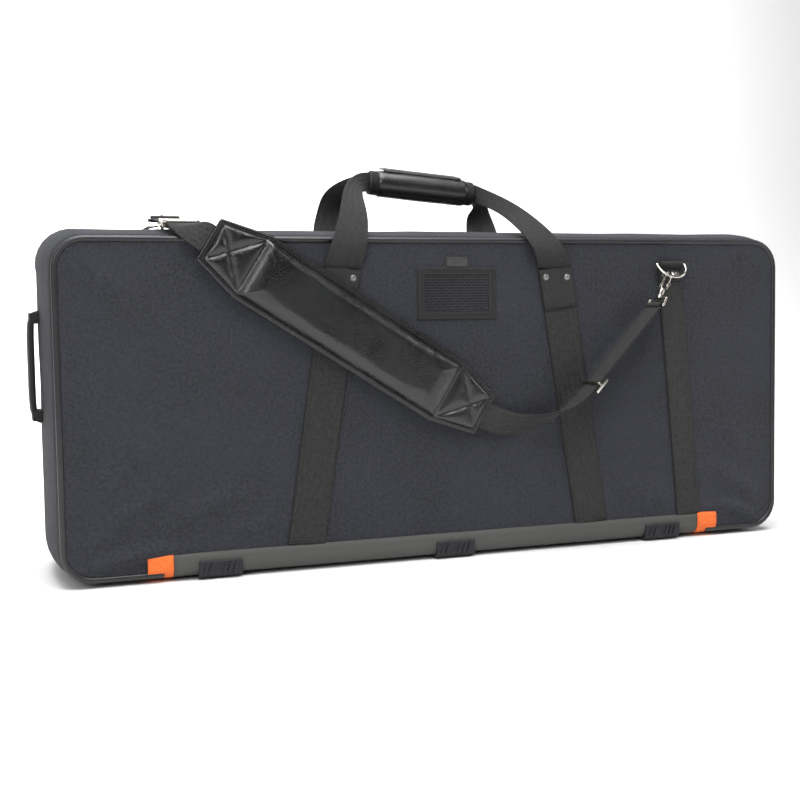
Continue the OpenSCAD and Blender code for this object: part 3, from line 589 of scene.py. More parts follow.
    def along(
        self,
        name: str,
        paths: Sequence[Sequence[Point]],
        piece: Obj,
        spacing: float,
        finish: bpy.types.Material,
        unevenness: float = 0.06,
    ) -> Obj:
        """Sets copies of a piece along paths; the piece's own Z follows the path.

        Args:
            name: the new object's name.
            paths: rows of points.
            piece: the small piece, which is removed afterwards.
            spacing: distance between copies.
            finish: their material.
            unevenness: random tilt of each copy, in radians.

        Returns:
            One plain mesh object.
        """
        curves = self._curves(paths, False)
        values = {"Spacing": spacing, "Unevenness": unevenness, "Piece": piece, "Finish": finish}
        made = self._made_plain(curves, self.rows, values, name)
        bpy.data.objects.remove(piece)
        made.data.shade_smooth()
        return made

    def at(
        self,
        name: str,
        spots: Sequence[Point],
        turns: Sequence[Point],
        piece: Obj,
        finish: bpy.types.Material,
        size: float = 1.0,
    ) -> Obj:
        """Sets a copy of a piece at each spot, turned by its own angles.

        Args:
            name: the new object's name.
            spots: where the copies go.
            turns: each copy's rotation about X, Y and Z, in radians.
            piece: the small piece, which is removed afterwards.
            finish: their material.
            size: scale of every copy.

        Returns:
            One plain mesh object.
        """
        carrier = MeshMaker.from_data("spots", np.array(spots, float), [], None, False)
        turn = carrier.data.attributes.new("turn", "FLOAT_VECTOR", "POINT")
        turn.data.foreach_set("vector", np.asarray(turns, np.float32).ravel())
        values = {"Size": size, "Piece": piece, "Finish": finish}
        made = self._made_plain(carrier, self.spots, values, name)
        bpy.data.objects.remove(piece)
        made.data.shade_smooth()
        made.data.set_sharp_from_angle(angle=math.radians(50))
        return made

    def cord(
        self, name: str, paths: Sequence[Sequence[Point]], radius: float, sides: int,
        finish: bpy.types.Material, closed: bool = False,
    ) -> Obj:
        """Sweeps a round section along paths.

        Args:
            name: the new object's name.
            paths: rows of points.
            radius: the section's radius.
            sides: faces round it.
            finish: its material.
            closed: whether each path is a loop.

        Returns:
            One plain mesh object.
        """
        curves = self._curves(paths, closed)
        values = {"Radius": radius, "Sides": sides, "Finish": finish}
        made = self._made_plain(curves, self.sweep, values, name)
        made.data.shade_smooth()
        return made


# ---- Finishes ----


class Groups:
    """Shader node groups that more than one finish uses."""

    made: dict[str, ShaderTree] = {}

    @classmethod
    def get(cls, name: str) -> ShaderTree:
        """Returns a group by name, building it the first time."""
        if name not in cls.made:
            cls.made[name] = getattr(cls, "_" + name)()
        return cls.made[name]

    @staticmethod
    def _start(
        name: str,
        inputs: Sequence[tuple[str, str, float | Colour | None]],
        outputs: Sequence[tuple[str, str]],
    ) -> ShaderTree:
        """Starts a group with named sockets.

        Args:
            name: the group's name.
            inputs: each input's name, kind and default.
            outputs: each output's name and kind.

        Returns:
            The group, with its input and output nodes in place.
        """
        tree = bpy.data.node_groups.new(name, "ShaderNodeTree")
        for label, kind, value in inputs:
            socket = tree.interface.new_socket(label, in_out="INPUT", socket_type="NodeSocket" + kind)
            if value is not None:
                socket.default_value = value
        for label, kind in outputs:
            tree.interface.new_socket(label, in_out="OUTPUT", socket_type="NodeSocket" + kind)
        tree.nodes.new("NodeGroupInput").name = "in"
        tree.nodes.new("NodeGroupOutput").name = "out"
        return tree

    @classmethod
    def _weave(cls) -> ShaderTree:
        """Returns slanted yarns that can turn into a herringbone; gives height and a painted shade mask, dark
        in the hollows between yarns and light on raised yarns.
        """
        tree = cls._start(
            "woven_yarns",
            [
                ("Vector", "Vector", None),
                ("Pitch", "Float", 0.0012),
                ("Slant", "Float", 1.0),
                ("Chevron", "Float", 0.0),
                ("Cross", "Float", 0.4),
            ],
            [("Height", "Float"), ("Mask", "Float")],
        )
        w = Wires(tree)
        start = tree.nodes["in"].outputs
        u, v = w.split(start["Vector"])
        plain = w.math("MULTIPLY", u, start["Slant"])
        bent = w.math("PINGPONG", u, w.math("MAXIMUM", start["Chevron"], 0.0005))
        use = w.math("GREATER_THAN", start["Chevron"], 0.0006)
        slope = w.mix_value(use, plain, w.math("MULTIPLY", bent, 2.0))
        phase = w.math("DIVIDE", w.math("ADD", v, slope), start["Pitch"])
        ridge = w.math("SINE", w.math("MULTIPLY", phase, TURN))
        cross = w.math("DIVIDE", w.math("SUBTRACT", u, w.math("MULTIPLY", v, start["Slant"])), start["Pitch"])
        thread = w.math("SINE", w.math("MULTIPLY", cross, 2.6 * math.pi))
        both = w.math("ADD", ridge, w.math("MULTIPLY", thread, start["Cross"]))
        height = w.math("MULTIPLY_ADD", both, 0.35, 0.5)
        w.link(height, tree.nodes["out"].inputs["Height"])
        # The yarn height also serves as a colour mask: painted shade in the hollows between yarns, painted
        # highlight on the raised yarns.
        w.link(w.ramp(height, 0.35, 0.8), tree.nodes["out"].inputs["Mask"])
        return tree

    @classmethod
    def _patches(cls) -> ShaderTree:
        """Returns slow and fine unevenness, as dye, dust and handling leave it."""
        tree = cls._start(
            "uneven_wear",
            [
                ("Vector", "Vector", None),
                ("Slow", "Float", 9.0),
                ("Fine", "Float", 240.0),
                ("Seed", "Float", 0.0),
            ],
            [("Slow", "Float"), ("Fine", "Float"), ("Specks", "Float")],
        )
        w = Wires(tree)
        start = tree.nodes["in"].outputs
        place = w.vector("ADD", start["Vector"], w.combine(start["Seed"], start["Seed"], start["Seed"]))
        slow = w.noise(place, start["Slow"], 3.0, 0.55)
        fine = w.noise(place, start["Fine"], 2.0, 0.6)
        specks = w.noise(place, w.math("MULTIPLY", start["Fine"], 1.7), 1.0, 0.5)
        out = tree.nodes["out"].inputs
        w.link(w.ramp(slow, 0.3, 0.7), out["Slow"])
        w.link(fine, out["Fine"])
        w.link(w.ramp(specks, 0.74, 0.80), out["Specks"])
        return tree

    @classmethod
    def _grain(cls) -> ShaderTree:
        """Returns the pebbled cells and fine creases of leather; gives height and crease mask."""
        tree = cls._start(
            "leather_grain",
            [("Vector", "Vector", None), ("Cells", "Float", 650.0), ("Creases", "Float", 60.0)],
            [("Height", "Float"), ("Crease", "Float")],
        )
        w = Wires(tree)
        start = tree.nodes["in"].outputs
        cells = tree.nodes.new("ShaderNodeTexVoronoi")
        cells.feature = "DISTANCE_TO_EDGE"
        w.link(start["Vector"], cells.inputs["Vector"])
        w.link(start["Cells"], cells.inputs["Scale"])
        pebble = w.ramp(cells.outputs["Distance"], 0.0, 0.25)
        crease = w.noise(start["Vector"], start["Creases"], 4.0, 0.6)
        line = w.ramp(w.math("ABSOLUTE", w.math("SUBTRACT", crease, 0.5)), 0.0, 0.03)
        height = w.math("ADD", w.math("MULTIPLY", pebble, 0.5), w.math("MULTIPLY", line, 0.35))
        w.link(height, tree.nodes["out"].inputs["Height"])
        w.link(line, tree.nodes["out"].inputs["Crease"])
        return tree


class Wires:
    """Short names for the shader nodes that the finishes use."""

    def __init__(self, tree: ShaderTree) -> None:
        """Keeps the tree that nodes are added to."""
        self.tree = tree

    def link(self, source: Socket, target: Socket) -> None:
        """Joins two sockets."""
        self.tree.links.new(source, target)

    def put(self, value: Value, target: Socket) -> None:
        """Feeds a socket from another one, or sets its number."""
        if isinstance(value, (int, float)):
            target.default_value = value
        else:
            self.link(value, target)

    def math(self, operation: str, *values: Value) -> Socket:
        """Returns one sum of the given values."""
        node = self.tree.nodes.new("ShaderNodeMath")
        node.operation = operation
        for socket, value in zip(node.inputs, values):
            self.put(value, socket)
        return node.outputs[0]

    def vector(self, operation: str, a: Socket, b: Socket) -> Socket:
        """Returns one vector sum."""
        node = self.tree.nodes.new("ShaderNodeVectorMath")
        node.operation = operation
        self.link(a, node.inputs[0])
        self.link(b, node.inputs[1])
        return node.outputs[0]

    def split(self, source: Socket) -> tuple[Socket, Socket]:
        """Returns the first two coordinates of a vector."""
        node = self.tree.nodes.new("ShaderNodeSeparateXYZ")
        self.link(source, node.inputs[0])
        return node.outputs[0], node.outputs[1]

    def combine(self, *values: Value) -> Socket:
        """Returns a vector made of three values."""
        node = self.tree.nodes.new("ShaderNodeCombineXYZ")
        for socket, value in zip(node.inputs, values):
            self.put(value, socket)
        return node.outputs[0]

    def noise(self, place: Socket, scale: Value, detail: float, rough: float) -> Socket:
        """Returns a noise pattern's value."""
        node = self.tree.nodes.new("ShaderNodeTexNoise")
        self.link(place, node.inputs["Vector"])
        self.put(scale, node.inputs["Scale"])
        node.inputs["Detail"].default_value = detail
        node.inputs["Roughness"].default_value = rough
        return node.outputs["Fac"]

    def ramp(self, value: Socket, lo: float, hi: float, a: float = 0.0, b: float = 1.0) -> Socket:
        """Returns the value spread from lo and hi to a and b, and kept between them."""
        node = self.tree.nodes.new("ShaderNodeMapRange")
        self.link(value, node.inputs["Value"])
        for label, number in (("From Min", lo), ("From Max", hi), ("To Min", a), ("To Max", b)):
            node.inputs[label].default_value = number
        return node.outputs["Result"]

    def mix_value(self, factor: Socket, a: Value, b: Value) -> Socket:
        """Returns a blend of two numbers."""
        node = self.tree.nodes.new("ShaderNodeMix")
        node.data_type = "FLOAT"
        self.link(factor, node.inputs[0])
        self.put(a, node.inputs[2])
        self.put(b, node.inputs[3])
        return node.outputs[0]

    def mix_colour(self, factor: Socket, a: Tint, b: Tint) -> Socket:
        """Returns a blend of two colours."""
        node = self.tree.nodes.new("ShaderNodeMix")
        node.data_type = "RGBA"
        self.link(factor, node.inputs[0])
        for value, socket in ((a, node.inputs[6]), (b, node.inputs[7])):
            if isinstance(value, tuple):
                socket.default_value = (*value, 1.0)
            else:
                self.link(value, socket)
        return node.outputs[2]

    def group(self, name: str, **values: Value) -> bpy.types.Node:
        """Places a shared group with its own values.

        Args:
            name: the group's name in Groups.
            **values: its inputs, with capital initials.

        Returns:
            The group node.
        """
        node = self.tree.nodes.new("ShaderNodeGroup")
        node.node_tree = Groups.get(name)
        for label, value in values.items():
            self.put(value, node.inputs[label])
        return node

    def bump(
        self, height: Socket, distance: float, strength: float = 1.0,
        under: Socket | None = None,
    ) -> Socket:
        """Returns a normal raised by a height."""
        node = self.tree.nodes.new("ShaderNodeBump")
        node.inputs["Strength"].default_value = strength
        node.inputs["Distance"].default_value = distance
        self.link(height, node.inputs["Height"])
        if under is not None:
            self.link(under, node.inputs["Normal"])
        return node.outputs[0]


class Layout(Enum):
    """Where a finish reads its pattern from."""

    OBJECT = "object"
    WEAVE = "weave"


@dataclass(frozen=True)
class Finish:
    """A finish with one Principled shader; its kinds add their own pattern.

    Attributes:
        name: the material's name.
        base: its main colour, linear.
        light: the colour of its raised or worn parts; on cloth and foam the raised parts carry it as painted
            highlight, with painted shade left in yarn hollows and pores.
        rough: its roughness.
    """

    name: str
    base: Colour
    light: Colour
    rough: float = 0.7
    layout: Layout = Layout.WEAVE

    def _open(self) -> tuple[bpy.types.Material, Wires, bpy.types.Node, Socket, Socket]:
        """Starts the material.

        Returns:
            The material, its wires, its shader, the pattern's place and the object's own place.
        """
        material = bpy.data.materials.new(self.name)
        material.use_nodes = True
        tree = material.node_tree
        shader = tree.nodes["Principled BSDF"]
        shader.inputs["Roughness"].default_value = self.rough
        shader.inputs["Base Color"].default_value = (*self.base, 1.0)
        material.diffuse_color = (*self.base, 1.0)
        here = tree.nodes.new("ShaderNodeTexCoord").outputs["Object"]
        place = here
        if self.layout is Layout.WEAVE:
            uv = tree.nodes.new("ShaderNodeUVMap")
            uv.uv_map = WEAVE_UV
            place = uv.outputs[0]
        return material, Wires(tree), shader, place, here

    def material(self) -> bpy.types.Material:
        """Returns the finished material; each kind of finish makes its own."""
        raise NotImplementedError


@dataclass(frozen=True)
class Cloth(Finish):
    """Woven cloth or webbing, with yarns, painted shade between them, sheen and soft creases."""

    pitch: float = 0.0012
    slant: float = 1.0
    chevron: float = 0.0
    cross: float = 0.4
    yarn_depth: float = 0.00022
    sheen: float = 0.25
    crease: float = 0.0
    selvage: float = 0.0
    seed: float = 0.0

    def material(self) -> bpy.types.Material:
        """Returns the cloth material."""
        material, w, shader, place, here = self._open()
        yarns = w.group(
            "weave", Vector=place, Pitch=self.pitch, Slant=self.slant, Chevron=self.chevron, Cross=self.cross
        )
        wear = w.group("patches", Vector=here, Slow=7.0, Fine=260.0, Seed=self.seed)
        mottle = w.math("MULTIPLY", w.ramp(wear.outputs["Fine"], 0.36, 0.64), 0.5)
        # Painted shade in the yarn hollows and painted highlight on raised yarns, plus random mottle, set the
        # mix of base and light.
        shade = w.math("MULTIPLY_ADD", yarns.outputs["Mask"], 0.55, mottle)
        colour = w.mix_colour(shade, self.base, self.light)
        bleached = tuple(min(1.0, c * 1.3) for c in self.light)
        faded = w.mix_colour(w.math("MULTIPLY", wear.outputs["Slow"], 0.35), colour, bleached)
        specked = w.mix_colour(w.math("MULTIPLY", wear.outputs["Specks"], 0.16), faded, (0.42, 0.42, 0.43))
        if self.selvage:
            u, _ = w.split(place)
            edge = w.ramp(w.math("ABSOLUTE", u), self.selvage - 0.0022, self.selvage - 0.0008)
            specked = w.mix_colour(w.math("MULTIPLY", edge, 0.6), specked, tuple(c * 0.55 for c in self.base))
        w.link(specked, shader.inputs["Base Color"])
        rough = w.ramp(wear.outputs["Slow"], 0.0, 1.0, self.rough - 0.05, self.rough + 0.06)
        w.link(rough, shader.inputs["Roughness"])
        shader.inputs["Sheen Weight"].default_value = self.sheen
        shader.inputs["Sheen Roughness"].default_value = 0.45
        shader.inputs["Specular IOR Level"].default_value = 0.35
        normal = w.bump(yarns.outputs["Height"], self.yarn_depth, 0.8)
        if self.crease:
            folds = w.noise(here, 16.0, 3.0, 0.5)
            normal = w.bump(folds, self.crease, 0.9, normal)
        w.link(normal, shader.inputs["Normal"])
        return material


@dataclass(frozen=True)
class Leather(Finish):
    """Smooth leather cloth with a glossy coat."""

    cells: float = 900.0
    depth: float = 0.00012
    coat: float = 0.35
    crease: float = 0.0006

    def material(self) -> bpy.types.Material:
        """Returns the leather material."""
        material, w, shader, _, here = self._open()
        grain = w.group("grain", Vector=here, Cells=self.cells, Creases=55.0)
        wear = w.group("patches", Vector=here, Slow=18.0, Fine=420.0, Seed=3.0)
        shade = w.math("MULTIPLY", wear.outputs["Slow"], 0.6)
        worn = w.mix_colour(shade, self.base, self.light)
        w.link(worn, shader.inputs["Base Color"])
        rough = w.ramp(wear.outputs["Slow"], 0.0, 1.0, self.rough - 0.05, self.rough + 0.09)
        w.link(rough, shader.inputs["Roughness"])
        shader.inputs["Coat Weight"].default_value = self.coat
        shader.inputs["Coat Roughness"].default_value = 0.16
        shader.inputs["Specular IOR Level"].default_value = 0.55
        normal = w.bump(grain.outputs["Height"], self.depth, 0.7)
        soft = w.noise(here, 34.0, 3.0, 0.55)
        normal = w.bump(soft, self.crease, 0.8, normal)
        w.link(normal, shader.inputs["Normal"])
        return material


@dataclass(frozen=True)
class Coated(Finish):
    """Moulded plastic or coated cloth: a satin skin with fine pits and rubbed spots."""

    pits: float = 900.0
    depth: float = 0.00008
    ripple: float = 0.0
    coat: float = 0.0

    def material(self) -> bpy.types.Material:
        """Returns the satin material."""
        material, w, shader, _, here = self._open()
        wear = w.group("patches", Vector=here, Slow=11.0, Fine=self.pits, Seed=5.0)
        fine = w.math("MULTIPLY", wear.outputs["Fine"], 0.3)
        shade = w.math("ADD", w.math("MULTIPLY", wear.outputs["Slow"], 0.5), fine)
        rubbed = w.mix_colour(shade, self.base, self.light)
        dusty = w.mix_colour(w.math("MULTIPLY", wear.outputs["Specks"], 0.1), rubbed, (0.4, 0.4, 0.4))
        w.link(dusty, shader.inputs["Base Color"])
        rough = w.ramp(wear.outputs["Fine"], 0.2, 0.8, self.rough - 0.07, self.rough + 0.09)
        w.link(rough, shader.inputs["Roughness"])
        if self.coat:
            shader.inputs["Coat Weight"].default_value = self.coat
            shader.inputs["Coat Roughness"].default_value = 0.3
        normal = w.bump(wear.outputs["Fine"], self.depth, 0.6)
        if self.ripple:
            normal = w.bump(w.noise(here, 22.0, 2.0, 0.5), self.ripple, 0.8, normal)
        w.link(normal, shader.inputs["Normal"])
        return material


@dataclass(frozen=True)
class Metal(Finish):
    """Plated metal with faint scratches and slow patches of darker and lighter tone."""

    scratch: float = 0.00003

    def material(self) -> bpy.types.Material:
        """Returns the plated material."""
        material, w, shader, _, here = self._open()
        wear = w.group("patches", Vector=here, Slow=60.0, Fine=1400.0, Seed=1.0)
        tone = w.mix_colour(w.math("MULTIPLY", wear.outputs["Slow"], 0.7), self.base, self.light)
        w.link(tone, shader.inputs["Base Color"])
        shader.inputs["Metallic"].default_value = 1.0
        rough = w.ramp(wear.outputs["Fine"], 0.25, 0.75, self.rough - 0.06, self.rough + 0.1)
        w.link(rough, shader.inputs["Roughness"])
        lines = w.noise(w.vector("MULTIPLY", here, w.combine(300.0, 2400.0, 700.0)), 1.0, 2.0, 0.5)
        w.link(w.bump(lines, self.scratch, 0.5), shader.inputs["Normal"])
        return material


@dataclass(frozen=True)
class FoamBoard(Finish):
    """Closed-cell foam with small open pores, painted darker inside as painted shade."""

    pores: float = 520.0

    def material(self) -> bpy.types.Material:
        """Returns the foam material."""
        material, w, shader, _, here = self._open()
        cells = w.tree.nodes.new("ShaderNodeTexVoronoi")
        w.link(here, cells.inputs["Vector"])
        cells.inputs["Scale"].default_value = self.pores
        hole = w.ramp(cells.outputs["Distance"], 0.1, 0.5)
        wear = w.group("patches", Vector=here, Slow=8.0, Fine=300.0, Seed=9.0)
        # The pores take the darker base colour: painted shade in their hollows, mixed with slow random
        # patches.
        shade = w.math("MULTIPLY_ADD", hole, 0.6, w.math("MULTIPLY", wear.outputs["Slow"], 0.4))
        w.link(w.mix_colour(shade, self.base, self.light), shader.inputs["Base Color"])
        w.link(w.ramp(wear.outputs["Fine"], 0.0, 1.0, 0.82, 0.98), shader.inputs["Roughness"])
        w.link(w.bump(hole, 0.0004, 0.7), shader.inputs["Normal"])
        return material


class Finishes(Enum):
    """Every finish on the case."""

    SHELL = Cloth(
        "twill_cloth", (0.0035, 0.0037, 0.0048), (0.036, 0.038, 0.048), 0.84, pitch=0.0031,
        yarn_depth=0.0007, crease=0.0026, sheen=0.05,
    )
    WEBBING = Cloth(
        "handle_webbing_weave", (0.0045, 0.0045, 0.0045), (0.030, 0.030, 0.0288), 0.66, pitch=0.0030,
        chevron=0.0042, cross=0.3, yarn_depth=0.0009, sheen=0.03, selvage=0.025, seed=2.0,
    )
    STRAP_WEB = Cloth(
        "strap_webbing_weave", (0.0045, 0.0045, 0.0045), (0.030, 0.030, 0.0288), 0.64, pitch=0.0030,
        chevron=0.0036, cross=0.25, yarn_depth=0.0009, sheen=0.03, selvage=0.019, seed=4.0,
    )
    ORANGE = Cloth(
        "orange_webbing_weave", (0.72, 0.100, 0.012), (0.95, 0.200, 0.035), 0.6, pitch=0.0018,
        chevron=0.0, cross=0.2, yarn_depth=0.0004, sheen=0.05, seed=6.0,
    )
    BINDING = Cloth(
        "binding_tape", (0.004, 0.004, 0.0045), (0.016, 0.016, 0.017), 0.7, pitch=0.0013,
        cross=0.1, slant=0.0, yarn_depth=0.0003, sheen=0.03,
    )
    GREY_TAB = Cloth(
        "grey_tab_weave", (0.020, 0.020, 0.018), (0.062, 0.062, 0.057), 0.7, pitch=0.0015,
        chevron=0.0026, yarn_depth=0.0004, sheen=0.1,
    )
    LINING = Cloth(
        "lining_knit", (0.030, 0.030, 0.034), (0.085, 0.085, 0.095), 0.85, pitch=0.0022, cross=0.8,
        sheen=0.3, seed=8.0,
    )
    ZIP_TAPE = Cloth(
        "zip_tape_weave", (0.006, 0.006, 0.007), (0.022, 0.022, 0.024), 0.75, pitch=0.0010,
        chevron=0.003, sheen=0.1,
    )
    NET = Coated("pocket_net", (0.030, 0.030, 0.031), (0.070, 0.070, 0.072), 0.5, pits=1800.0)
    THREAD = Coated("sewing_thread", (0.010, 0.010, 0.010), (0.060, 0.060, 0.058), 0.5, pits=2600.0)
    PIPING = Coated(
        "piping_cover", (0.010, 0.010, 0.011), (0.024, 0.025, 0.027), 0.34, pits=700.0,
        depth=0.0001, ripple=0.0004,
    )
    WEAR = Coated(
        "wear_vinyl", (0.015, 0.015, 0.0148), (0.026, 0.026, 0.0255), 0.33, pits=1100.0,
        depth=0.0001, ripple=0.0006,
    )
    FOOT = Coated("foot_plastic", (0.006, 0.006, 0.007), (0.022, 0.022, 0.023), 0.38, pits=1600.0)
    LEATHER = Leather(
        "gloss_leather", (0.0022, 0.0026, 0.0030), (0.0060, 0.0066, 0.0072), 0.27, cells=430.0,
        depth=0.00032,
    )
    FLAP = Leather(
        "matt_leather", (0.004, 0.0045, 0.005), (0.010, 0.011, 0.012), 0.5, coat=0.05,
        depth=0.0002,
    )
    NICKEL = Metal("nickel_plate", (0.50, 0.47, 0.42), (0.80, 0.77, 0.71), 0.2)
    ZIP_METAL = Metal("dark_zip_metal", (0.16, 0.16, 0.165), (0.34, 0.34, 0.35), 0.34)
    RIVET = Metal("rivet_steel", (0.22, 0.22, 0.225), (0.40, 0.40, 0.41), 0.32)
    FOAM = FoamBoard("foam_board", (0.05, 0.05, 0.055), (0.16, 0.16, 0.165))

    @property
    def material(self) -> bpy.types.Material:
        """Returns this finish's material, making it once."""
        found = bpy.data.materials.get(self.value.name)
        return found or self.value.material()


def dress(obj: Obj, finish: Finishes, body: str, slot: str, *nodes: str) -> Obj:
    """Gives a piece its finish, its body and the CAD nodes it stands for.

    Args:
        obj: the piece.
        finish: its finish.
        body: the body it rides on.
        slot: the record's material slot; not used.
        *nodes: CAD nodes that it replaces.

    Returns:
        The same piece.
    """
    obj.data.materials.clear()
    obj.data.materials.append(finish.material)
    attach(obj, body)
    if nodes:
        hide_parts(*nodes)
    LOG.info("%s: %d faces on %s", obj.name, len(obj.data.polygons), body)
    return obj


def dress_node(node: str, finish: Finishes) -> None:
    """Gives a CAD node that stays its finish."""
    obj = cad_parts[node]
    obj.data.materials.clear()
    obj.data.materials.append(finish.material)


# ---- The case itself ----


@dataclass
class CaseShape:
    """Outline and skin of the case, which everything sewn to it follows.

    Attributes:
        half: half the length of the face.
        low: height of the lowest edge of the cloth.
        top: height of the straight top edge.
        corner: radius of the outline's corners.
        face: depth of the flat face.
        crown: rise of the top over the edges of its band.
        end_crown: swell of the two ends.
        band0: front edge of the band round the case.
        band1: rear edge of that band.
    """

    half: float = 0.515
    low: float = 0.006
    top: float = 0.430
    corner: float = 0.040
    face: float = -0.115
    crown: float = 0.014
    end_crown: float = 0.009
    band0: float = -0.1095
    band1: float = 0.090
    folds: tuple = (
        (-0.492, 0.020, -0.372, 0.040, 0.010, 0.0042),
        (-0.480, 0.044, -0.395, 0.110, 0.014, 0.0026),
        (-0.400, 0.060, -0.285, 0.104, 0.013, 0.0022),
        (-0.462, 0.110, -0.400, 0.185, 0.016, 0.0018),
        (-0.300, 0.050, -0.215, 0.066, 0.010, 0.0012),
        (0.400, 0.046, 0.484, 0.020, 0.010, 0.0042),
        (0.405, 0.100, 0.480, 0.050, 0.014, 0.0026),
        (0.250, 0.075, 0.330, 0.055, 0.018, 0.0016),
        (-0.010, 0.052, 0.060, 0.070, 0.010, 0.0012),
        (0.400, 0.185, 0.470, 0.110, 0.018, 0.0015),
        (-0.500, 0.395, -0.430, 0.360, 0.014, 0.0014),
        (0.430, 0.385, 0.490, 0.412, 0.012, 0.0014),
    )

    def edge_gap(self, x: float, z: float) -> float:
        """Returns how far a point on the face lies inside the outline."""
        cx = self.half - self.corner
        mid = (self.low + self.top) / 2
        cz = (self.top - self.low) / 2 - self.corner
        dx, dz = abs(x) - cx, abs(z - mid) - cz
        outside = math.hypot(max(dx, 0), max(dz, 0)) + min(max(dx, dz), 0)
        return self.corner - outside

    def puff(self, x: float, z: float) -> float:
        """Returns how far the cloth of the face stands out at a point."""
        gap = self.edge_gap(x, z)
        tuck = -0.0017 * (1 - smooth_step(0.0, 0.010, gap))
        soft = noise.noise(Vector((x * 9, 0.3, z * 9))) * 0.0005
        soft += noise.noise(Vector((x * 31, 2.0, z * 31))) * 0.00018
        inside = smooth_step(0.004, 0.05, gap)
        out = tuck + inside * (0.0004 + soft)
        for x0, z0, x1, z1, wide, tall in self.folds:
            along = ((x - x0) * (x1 - x0) + (z - z0) * (z1 - z0)) / ((x1 - x0) ** 2 + (z1 - z0) ** 2)
            if -0.2 < along < 1.25:
                bend = 0.006 * math.sin(along * 3.0)
                away = math.hypot(x - x0 - along * (x1 - x0), z - z0 - along * (z1 - z0) - bend) / wide
                fade = math.sin(math.pi * min(1, max(0, (along + 0.15) / 1.35))) ** 1.2
                out += 1.5 * tall * fade * math.exp(-away * away) * smooth_step(0.002, 0.014, gap)
        return out

    def skin(self, x: float, z: float) -> float:
        """Returns the depth of the cloth of the face at a point."""
        return self.face - self.puff(x, z)

    def crown_rise(self, y: float) -> float:
        """Returns the rise of the crowned top at depth y, as a share of its height."""
        half = (self.band1 - self.band0) / 2
        r = (half * half + self.crown * self.crown) / (2 * self.crown)
        away = y - (self.band0 + self.band1) / 2
        return (self.crown - r + math.sqrt(r * r - away * away)) / self.crown

    def top_z(self, y: float) -> float:
        """Returns the height of the top of the case at depth y."""
        return self.top + self.crown * self.crown_rise(y)

    def loop(self, inset: float, low: float, top: float, step: int = 10) -> np.ndarray:
        """Returns the outline's points, with its corner directions.

        Args:
            inset: distance inside the outline.
            low: height of the outline's lower edge.
            top: height of its upper edge.
            step: points on each corner.

        Returns:
            An array of x, z, outward x and outward z, starting at the low left.
        """
        r = self.corner - inset
        cx = self.half - self.corner
        rows = []
        lower, upper = low + self.corner, top - self.corner
        for q, (sx, cz) in enumerate(((1, lower), (1, upper), (-1, upper), (-1, lower))):
            for k in range(step + 1):
                a = math.radians(-90 + 90 * q + 90 * k / step)
                rows.append((sx * cx + r * math.cos(a), cz + r * math.sin(a), math.cos(a), math.sin(a)))
        rows.append(rows[0])
        points = np.array([(a, 0, b) for a, b, _, _ in rows])
        run = lengths(points)
        count = int(run[-1] / 0.008)
        at = np.linspace(0, run[-1], count, endpoint=False)
        return np.stack([np.interp(at, run, [row[k] for row in rows]) for k in range(4)], axis=1)


